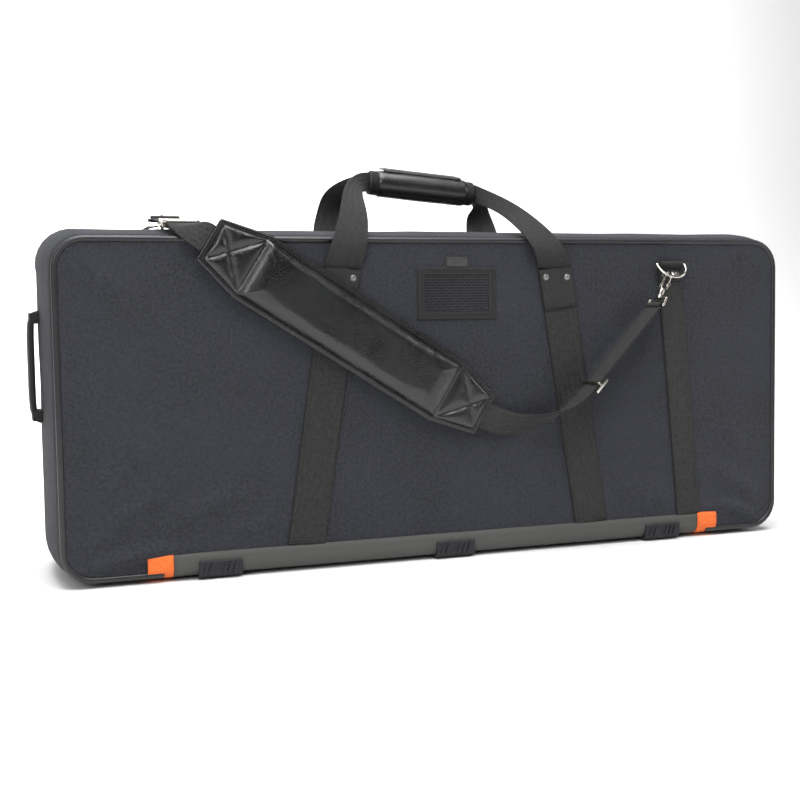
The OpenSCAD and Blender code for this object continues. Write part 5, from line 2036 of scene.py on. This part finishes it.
@dataclass
class ShoulderStrap:
    """The leather pad, the two straps and their rolled ends.

    Attributes:
        centre: middle of the pad's back face.
        lean: how far the pad's right end hangs lower, in degrees.
        half: half of the pad's length.
        wide: half of its width.
        taper: length of each tapered end.
        fold: where the stuffed middle ends and the tapered ends begin.
        flange: width of the flat edge round the stuffed part.
        cushion: height of the stuffed middle.
    """

    repeat: Repeater
    centre: tuple[float, float, float] = (-0.142, -0.1224, 0.309)
    lean: float = 32.4
    half: float = 0.218
    wide: float = 0.0465
    taper: float = 0.065
    tip: float = 0.030
    fold: float = 0.153
    flange: float = 0.0058
    cushion: float = 0.0128
    strap_wide: float = 0.038
    thick: float = 0.0024

    def placed(self, points: np.ndarray) -> np.ndarray:
        """Takes points from the pad's own frame to the case."""
        return tilted(points, self.lean, self.centre)

    def width_at(self, x: float, half: float, wide: float, taper: float, tip: float) -> float:
        """Returns half of the outline's width at a place along it."""
        t = min(max((half - abs(x)) / taper, 0.0), 1.0)
        return tip + (wide - tip) * t

    def sheet(self, name: str, y0: float, y1: float, wave: float) -> Obj:
        """Makes one flat layer of the pad with rounded edges.

        Args:
            name: the object's name.
            y0: depth of its back, in the pad's frame.
            y1: depth of its front.
            wave: how far its face ripples.

        Returns:
            The new object.
        """
        rings = []
        ends, middle = self.half - 0.002, self.half - 0.005
        low, high = np.linspace(-self.half, -ends, 4), np.linspace(ends, self.half, 4)
        xs = np.concatenate([low, np.linspace(-middle, middle, 150), high])
        for x in xs:
            w = self.width_at(x, self.half, self.wide, self.taper, self.tip)
            w -= 0.002 * smooth_step(0.994, 1.0, abs(x) / self.half)
            row = []
            for s in np.linspace(-1, 1, 33):
                ripple = wave * noise.noise(Vector((x * 26, s * 2.2, 3.0)))
                edge = smooth_step(0.96, 1.0, abs(s)) + smooth_step(0.995, 1.0, abs(x) / self.half)
                row.append((x, y1 - ripple + (y0 - y1) * 0.35 * min(edge, 1), s * w))
            for s in np.linspace(1, -1, 9):
                row.append((x, y0 + (y1 - y0) * 0.15 * (abs(s) > 0.98), s * w * 0.995))
            rings.append(row)
        return MeshMaker.loft(name, self.placed(np.array(rings)))

    def seam_gap(self, x: float, z: float) -> float:
        """Returns the distance from a place in a tapered end to its nearest seam."""
        u = abs(x)
        edge = self.width_at(x, self.half, self.wide, self.taper, self.tip) - self.flange
        near = [abs(u - self.fold), edge - abs(z), self.half - self.flange - u]
        for sign in (-1, 1):
            a, b = (self.fold, sign * 0.0400), (self.half - self.flange, -sign * 0.0255)
            dx, dz = b[0] - a[0], b[1] - a[1]
            near.append(abs((u - a[0]) * dz - (z - a[1]) * dx) / math.hypot(dx, dz))
        return max(min(near), 0.0)

    def height_at(self, x: float, z: float) -> float:
        """Returns the stuffed cover's height over the flange."""
        edge = self.width_at(x, self.half, self.wide, self.taper, self.tip) - self.flange
        if abs(x) < self.fold:
            across = min((edge - abs(z)) / 0.013, (self.fold - abs(x)) / 0.012, 1.0)
            belly = 0.95 + 0.05 * math.cos(1.2 * z / self.wide)
            return self.cushion * belly * math.sqrt(max(1 - (1 - max(across, 0.0)) ** 2, 0.0))
        share = min(self.seam_gap(x, z) / 0.0105, 1.0)
        return 0.0068 * math.sqrt(max(1 - (1 - share) ** 2, 0.0))

    def stuffed(self) -> Obj:
        """Inflates the stuffed cover between its seams with the cloth simulation.

        Returns:
            The cover in the case's frame.
        """
        base = -0.0046
        rings, pinned = [], []
        reach = self.half - self.flange
        xs, across = np.linspace(-reach, reach, 133), np.linspace(-1, 1, 29)
        for x in xs:
            w = self.width_at(x, self.half, self.wide, self.taper, self.tip) - self.flange
            row = []
            for s in across:
                z = s * w
                gap = self.seam_gap(x, z) if abs(x) > self.fold else min(w - abs(z), self.fold - abs(x))
                pinned.append(gap < 0.0018)
                row.append((x, base - self.height_at(x, z) * 0.84, z))
            for s in across[::-1]:
                pinned.append(True)
                row.append((x, base + 0.0016, s * w))
            rings.append(row)
        obj = MeshMaker.loft("pad_cover_leather", np.array(rings))
        start = np.array([v.co[:] for v in obj.data.vertices])
        held = obj.vertex_groups.new(name="sewn_down")
        held.add([i for i, keep in enumerate(pinned) if keep], 1.0, "REPLACE")
        moved = start.copy()
        moved = self.inflated(obj, start)
        for p in moved:
            if p[1] < base - 0.0008:
                near = math.exp(-self.seam_gap(p[0], p[2]) / 0.006) if abs(p[0]) > self.fold - 0.02 else 0.0
                rim = math.exp(-max(self.wide - self.flange - abs(p[2]), 0) / 0.008)
                pleat = 0.0005 * math.sin(p[0] * 260 + 4 * noise.noise(Vector((p[0] * 25, 0, 5)))) * rim
                wrinkle = 0.0009 * noise.noise(Vector((p[0] * 22, 1.0, p[2] * 14)))
                wrinkle += 0.0005 * near * noise.noise(Vector((p[0] * 150, 2.0, p[2] * 150)))
                p[1] = max(p[1] + pleat + wrinkle, base - self.cushion)
        for v, p in zip(obj.data.vertices, self.placed(moved)):
            v.co = p
        bpy.context.view_layer.objects.active = obj
        obj.select_set(True)
        finer = obj.modifiers.new("finer", "SUBSURF")
        finer.levels = finer.render_levels = 1
        bpy.ops.object.modifier_apply(modifier=finer.name)
        obj.select_set(False)
        MeshMaker.face_outwards(obj)
        obj.data.shade_smooth()
        MeshMaker.box_weave(obj)
        return obj

    @staticmethod
    def inflated(obj: Obj, start: np.ndarray) -> np.ndarray:
        """Runs the cloth simulation on a sewn cover.

        Args:
            obj: the cover, with the group of points that stay sewn down.
            start: its points before the run.

        Returns:
            The points after it, none of them moved more than 2.2 mm.
        """
        cloth = obj.modifiers.new("cloth", "CLOTH")
        settings = cloth.settings
        settings.quality = 6
        settings.mass = 0.25
        settings.tension_stiffness = settings.compression_stiffness = 16
        settings.bending_stiffness = 0.8
        settings.effector_weights.gravity = 0.0
        settings.use_pressure = True
        settings.uniform_pressure_force = 4.0
        settings.vertex_group_mass = "sewn_down"
        cloth.point_cache.frame_start, cloth.point_cache.frame_end = 1, 20
        scene = bpy.context.scene
        for step in range(1, 21):
            scene.frame_set(step)
        shown = obj.evaluated_get(bpy.context.evaluated_depsgraph_get())
        moved = np.array([v.co[:] for v in shown.data.vertices])
        obj.modifiers.remove(cloth)
        scene.frame_set(1)
        travel = moved - start
        reach = np.linalg.norm(travel, axis=1, keepdims=True)
        LOG.info("cover moved up to %.1f mm", 1000 * float(reach.max()))
        return start + travel * np.minimum(1.0, 0.0022 / np.maximum(reach, 1e-9))

    def stitches(self) -> Obj:
        """Sews two rows round the pad and a cross in each tapered end."""
        rows = []
        y = -0.0047
        for inset in (0.0018, 0.0046):
            corners = []
            for sx in (-1, 1):
                a, b, c = self.half - inset, self.half - self.taper, self.tip - inset * 0.9
                w = self.wide - inset
                one = [(sx * b, y, -w), (sx * a, y, -c), (sx * a, y, c), (sx * b, y, w)]
                corners += one if sx > 0 else one[::-1]
            corners.append(corners[0])
            rows.append(self.placed(respaced(corners, 260)))
        y = -0.0056
        far, end = self.half - self.flange, 0.0255
        for sx in (-1, 1):
            for sz in (-1, 1):
                cross = [(sx * self.fold, y, sz * 0.0395), (sx * far, y, -sz * end)]
                rows.append(self.placed(respaced(cross, 24)))
            x = sx * (self.fold + 0.0012)
            rows.append(self.placed(respaced([(x, y, -0.039), (x, y, 0.039)], 24)))
        stitch = Stitch(0.0032, 0.00042)
        return stitch.sew(self.repeat, "pad_stitches", rows, 0.0042, "shoulder_strap", "leather")

    def strap(
        self, name: str, eye: Point, slider: Point, first: Point, reach: float, end: Point,
        pull: float, leave: float, node: str,
    ) -> None:
        """Builds one strap with its rolled end round the hook's bar.

        Args:
            name: the object's name.
            eye: middle of the rolled end.
            slider: the tri-slider's middle.
            first: half-width vector at the rolled end.
            reach: how far the strap stays straight past the slider.
            end: where it meets the pad.
            pull: how far the bend keeps the pad's direction (negative at the upper end).
            leave: how far the bend keeps the strap's direction.
            node: the CAD node.
        """
        eye_p, slider_p, end_p = np.array(eye), np.array(slider), np.array(end)
        run = unit(slider_p - eye_p)
        a = math.radians(self.lean)
        along = np.array([math.cos(a), 0, -math.sin(a)])
        across = np.array([math.sin(a), 0, math.cos(a)])
        start = eye_p + run * 0.004
        straight = slider_p + run * reach
        w = self.strap_wide / 2
        points, halves = [], []
        for t in np.linspace(0, 1, 30):
            points.append(start + (straight - start) * t)
            halves.append(np.array(first) * w)
        for t in np.linspace(0, 1, 40)[1:]:
            points.append(bezier(straight, straight + run * leave, end_p + along * pull, end_p, t))
            mixed = np.array(first) * (1 - t) + across * t
            halves.append(unit(mixed) * w)
        band = MeshMaker.ribbon(name, np.array(points), np.array(halves), self.thick)
        turn = np.linspace(0.0, TURN, 40)
        side = unit(first)
        up = unit(np.cross(side, run))
        ring = [eye_p + 0.0036 * (math.cos(t) * run + math.sin(t) * up) for t in turn[:-1]]
        wide = np.tile(side * (w - 0.0002), (39, 1))
        rolled = MeshMaker.ribbon(name + "_roll", np.array(ring), wide, 0.0017, True)
        both = MeshMaker.join(name, [band, rolled])
        both.data.shade_smooth()
        dress(both, Finishes.STRAP_WEB, "shoulder_strap", "webbing", node)

    def build(self) -> None:
        """Builds the whole shoulder strap."""
        back = self.sheet("pad_backing", 0.0, -0.0021, 0.0)
        dress(back, Finishes.BINDING, "shoulder_strap", "webbing", "pad_back")
        flange = self.sheet("pad_flange", -0.0023, -0.0044, 0.00035)
        dress(flange, Finishes.LEATHER, "shoulder_strap", "leather")
        cushion = self.stuffed()
        dress(cushion, Finishes.LEATHER, "shoulder_strap", "leather", "pad_foam", "pad_cover")
        self.stitches()
        low_eye = (0.29757, -0.13806, 0.33605)
        low_slider = (0.197, -0.1415, 0.230)
        low_end = (0.04206, -0.1246, 0.1922)
        self.strap(
            "lower_strap", low_eye, low_slider, (0, -1, 0), 0.014, low_end, 0.060, 0.050, "strap_lower"
        )
        top_eye, top_slider = (-0.360, -0.00799, 0.45864), (-0.354, -0.082, 0.44772)
        top_end = (-0.32606, -0.1246, 0.4258)
        self.strap(
            "upper_strap", top_eye, top_slider, (1, 0, 0), 0.014, top_end, -0.018, 0.024, "strap_upper"
        )


# ---- Plain fittings, the back and the inside ----


@dataclass(frozen=True)
class Fitting:
    """One CAD node shown with softened edges.

    Attributes:
        node: the CAD node.
        body: the body it rides on.
        slot: its material slot.
        finish: its finish.
        bevel: the radius of its softened edges.
    """

    node: str
    body: str
    slot: str
    finish: Finishes
    bevel: float

    def build(self) -> None:
        """Copies the node, softens its edges and gives it its finish."""
        obj = MeshMaker.refined(self.node, self.node + "_finished", self.bevel, 2 if self.bevel else 1)
        dress(obj, self.finish, self.body, self.slot)


FITTINGS: tuple[Fitting, ...] = (
    Fitting("front_d_ring", "ring_front", "nickel", Finishes.NICKEL, 0.0),
    Fitting("rear_d_ring", "ring_rear", "nickel", Finishes.NICKEL, 0.0),
    Fitting("hook_front", "snap_front", "nickel", Finishes.NICKEL, 0.0006),
    Fitting("hook_rear", "snap_rear", "nickel", Finishes.NICKEL, 0.0006),
    Fitting("hook_gate_front", "gate_front", "nickel", Finishes.NICKEL, 0.0003),
    Fitting("hook_gate_rear", "gate_rear", "nickel", Finishes.NICKEL, 0.0003),
    Fitting("slider_lower", "tri_slider_lower", "nickel", Finishes.NICKEL, 0.0005),
    Fitting("slider_upper", "tri_slider_upper", "nickel", Finishes.NICKEL, 0.0005),
    Fitting("strap_eyes", "shoulder_strap", "nickel", Finishes.NICKEL, 0.0003),
    Fitting("zip_slider_left", "zip_slider_left", "zip_metal", Finishes.ZIP_METAL, 0.0005),
    Fitting("zip_slider_right", "zip_slider_right", "zip_metal", Finishes.ZIP_METAL, 0.0005),
    Fitting("zip_pull_left", "zip_pull_left", "zip_metal", Finishes.ZIP_METAL, 0.0004),
    Fitting("zip_pull_right", "zip_pull_right", "zip_metal", Finishes.ZIP_METAL, 0.0004),
    Fitting("zip_chain_body", "case", "zip_tape", Finishes.ZIP_TAPE, 0.0),
    Fitting("zip_chain_lid", "lid", "zip_tape", Finishes.ZIP_TAPE, 0.0),
    Fitting("lid_gusset", "lid", "shell_fabric", Finishes.SHELL, 0.0),
    Fitting("lid_foam", "lid", "foam", Finishes.FOAM, 0.0),
    Fitting("lid_lining", "lid", "lining", Finishes.LINING, 0.0003),
    Fitting("cradle_left", "cradle_left", "foam", Finishes.LINING, 0.004),
    Fitting("cradle_right", "cradle_right", "foam", Finishes.LINING, 0.004),
)


@dataclass
class BackPanel:
    """The lid's soft face, its piping and the zip teeth.

    Attributes:
        low: height of the lid's lower edge.
        top: height of its upper edge.
        pitch: distance between zip teeth.
    """

    shape: CaseShape
    repeat: Repeater
    low: float = 0.0168
    top: float = 0.430
    pitch: float = 0.0032

    def face(self) -> Obj:
        """Builds the lid's soft face in one piece with its edge."""
        lo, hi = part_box("lid_panel")
        obj = MeshMaker.refined("lid_panel", "lid_face", 0.0, 1)
        parts = 5
        for k in range(1, parts):
            self._cut(obj, lo.x + (hi.x - lo.x) * k / parts)
        for vertex in obj.data.vertices:
            p = vertex.co
            if p.y > hi.y - 0.0006:
                inner = min(p.x - lo.x, hi.x - p.x, p.z - lo.z, hi.z - p.z)
                swell = smooth_step(0.0, 0.05, inner)
                p.y += swell * (0.0016 + 0.0018 * noise.noise(Vector((p.x * 4, 9.0, p.z * 6))))
        return dress(obj, Finishes.SHELL, "lid", "shell_fabric")

    def _cut(self, obj: Obj, x: float) -> None:
        """Cuts a mesh with an upright plane so that it can bend there."""
        bm = bmesh.new()
        bm.from_mesh(obj.data)
        everything = list(bm.verts) + list(bm.edges) + list(bm.faces)
        bmesh.ops.bisect_plane(bm, geom=everything, plane_co=(x, 0, 0), plane_no=(1, 0, 0))
        bm.to_mesh(obj.data)
        bm.free()

    def teeth(self, body: str, y: float, side: float) -> Obj:
        """Sets the teeth of one half of the zip along both ends and the top.

        Args:
            body: the body they ride on.
            y: depth of the row.
            side: 1 or -1, which way each tooth points.

        Returns:
            The new object.
        """
        path = self.shape.loop(-0.0004, 0.0605, self.top, 10)
        points = [(row[0], y, row[1]) for row in path]
        low = min(range(len(points)), key=lambda k: (points[k][2], points[k][0]))
        points = points[low:] + points[:low]
        rows = [[p for p in points if p[2] > 0.0606]]
        r = 0.0010
        ring = [[(0.9 * x, side * 0.7 * z, h) for x, z in circle(r, 8)] for h in (-0.0009, 0.0009)]
        tooth = MeshMaker.loft("tooth", np.array(ring))
        metal = Finishes.ZIP_METAL
        obj = self.repeat.along(f"zip_teeth_{body}", rows, tooth, self.pitch, metal.material, 0.0)
        return dress(obj, Finishes.ZIP_METAL, body, "zip_metal")

    def build(self) -> None:
        """Builds the lid's outside."""
        self.face()
        path = self.shape.loop(0.0035, self.low + 0.0035, self.top - 0.0035, 10)
        points = [(row[0], 0.1136, row[1]) for row in path]
        bead = MeshMaker.tube("lid_bead", np.array(points), 0.0039, 14, True)
        dress(bead, Finishes.PIPING, "lid", "piping", "lid_piping")
        self.teeth("case", 0.0908, 1)
        self.teeth("lid", 0.0924, -1)


# ---- The room, the lights and the camera ----


@dataclass
class Studio:
    """A pale floor, soft lights and the camera.

    Attributes:
        eye: the camera's place.
        yaw: how far it looks to the right of +Y, in degrees.
        pitch: how far it looks down, in degrees.
        roll: its turn about its own axis, in degrees.
        lens: focal length for a 36 mm sensor.
    """

    eye: tuple[float, float, float] = (-0.622, -1.645, 0.326)
    yaw: float = 19.67
    pitch: float = 3.86
    roll: float = -0.93
    lens: float = 55.5

    def floor(self) -> None:
        """Lays the floor with a curved rise behind it."""
        rows = [(-6.0, 0.0), (-3.0, 0.0), (0.0, 0.0), (3.5, 0.0)] + [
            (3.5 + 1.6 * math.sin(a), 1.6 - 1.6 * math.cos(a)) for a in np.linspace(0.1, math.pi / 2, 14)
        ] + [(5.1, 7.0)]
        verts, faces = [], []
        for y, z in rows:
            verts += [(-9.0, y, z), (9.0, y, z)]
        for k in range(len(rows) - 1):
            faces.append((2 * k, 2 * k + 1, 2 * k + 3, 2 * k + 2))
        obj = MeshMaker.from_data("studio_floor", np.array(verts, float), faces)
        material = bpy.data.materials.new("studio_paper")
        material.use_nodes = True
        shader = material.node_tree.nodes["Principled BSDF"]
        shader.inputs["Base Color"].default_value = (0.88, 0.88, 0.88, 1)
        shader.inputs["Roughness"].default_value = 0.75
        obj.data.materials.append(material)

    def lamp(self, name: str, place: Point, aim: Point, size: float, power: float) -> None:
        """Hangs one soft square light that faces a point."""
        data = bpy.data.lights.new(name, "AREA")
        data.shape, data.size, data.energy = "SQUARE", size, power
        obj = bpy.data.objects.new(name, data)
        obj.location = place
        obj.rotation_euler = (Vector(aim) - Vector(place)).to_track_quat("-Z", "Y").to_euler()
        bpy.context.scene.collection.objects.link(obj)

    def camera(self) -> None:
        """Places the camera."""
        a, b, c = math.radians(self.yaw), math.radians(self.pitch), math.radians(self.roll)
        d = Vector((math.sin(a) * math.cos(b), math.cos(a) * math.cos(b), -math.sin(b)))
        r = Vector((math.cos(a), -math.sin(a), 0))
        u = r.cross(d)
        r2 = r * math.cos(c) + u * math.sin(c)
        u2 = -r * math.sin(c) + u * math.cos(c)
        data = bpy.data.cameras.new("camera")
        data.lens, data.sensor_width = self.lens, 36
        obj = bpy.data.objects.new("camera", data)
        columns = Matrix((r2, u2, -d)).transposed().to_4x4()
        obj.matrix_world = Matrix.Translation(self.eye) @ columns
        bpy.context.scene.collection.objects.link(obj)
        bpy.context.scene.camera = obj

    def build(self) -> None:
        """Builds the room."""
        self.floor()
        self.lamp("top_light", (-0.2, -0.75, 2.7), (0, 0.1, 0.1), 2.4, 120)
        self.lamp("front_light", (-2.3, -2.7, 1.7), (0, 0, 0.22), 1.5, 42)
        self.lamp("side_light", (2.5, -1.3, 1.5), (0.2, 0, 0.25), 1.0, 16)
        self.lamp("back_light", (0.0, 2.2, 3.6), (0, 5.0, 1.4), 3.0, 420)
        world = bpy.data.worlds.new("studio_world")
        world.use_nodes = True
        back = world.node_tree.nodes["Background"]
        back.inputs["Color"].default_value = (1.0, 1.0, 1.0, 1)
        back.inputs["Strength"].default_value = 0.16
        bpy.context.scene.world = world
        bpy.context.scene.view_settings.view_transform = "Standard"
        self.camera()


def main() -> None:
    """Builds every sub-assembly in order."""
    logging.basicConfig(level=logging.INFO, format="%(message)s")
    shape, repeat = CaseShape(), Repeater()
    Shell(shape, repeat).build()
    Underside(shape, repeat).build()
    FaceWebbing(shape, repeat).build()
    CarryHandle(shape, repeat).build()
    NamePocket(shape, repeat).build()
    SideHandle(repeat).build()
    ShoulderStrap(repeat).build()
    BackPanel(shape, repeat).build()
    for fitting in FITTINGS:
        fitting.build()
    Studio().build()


if __name__ == "__main__":
    main()
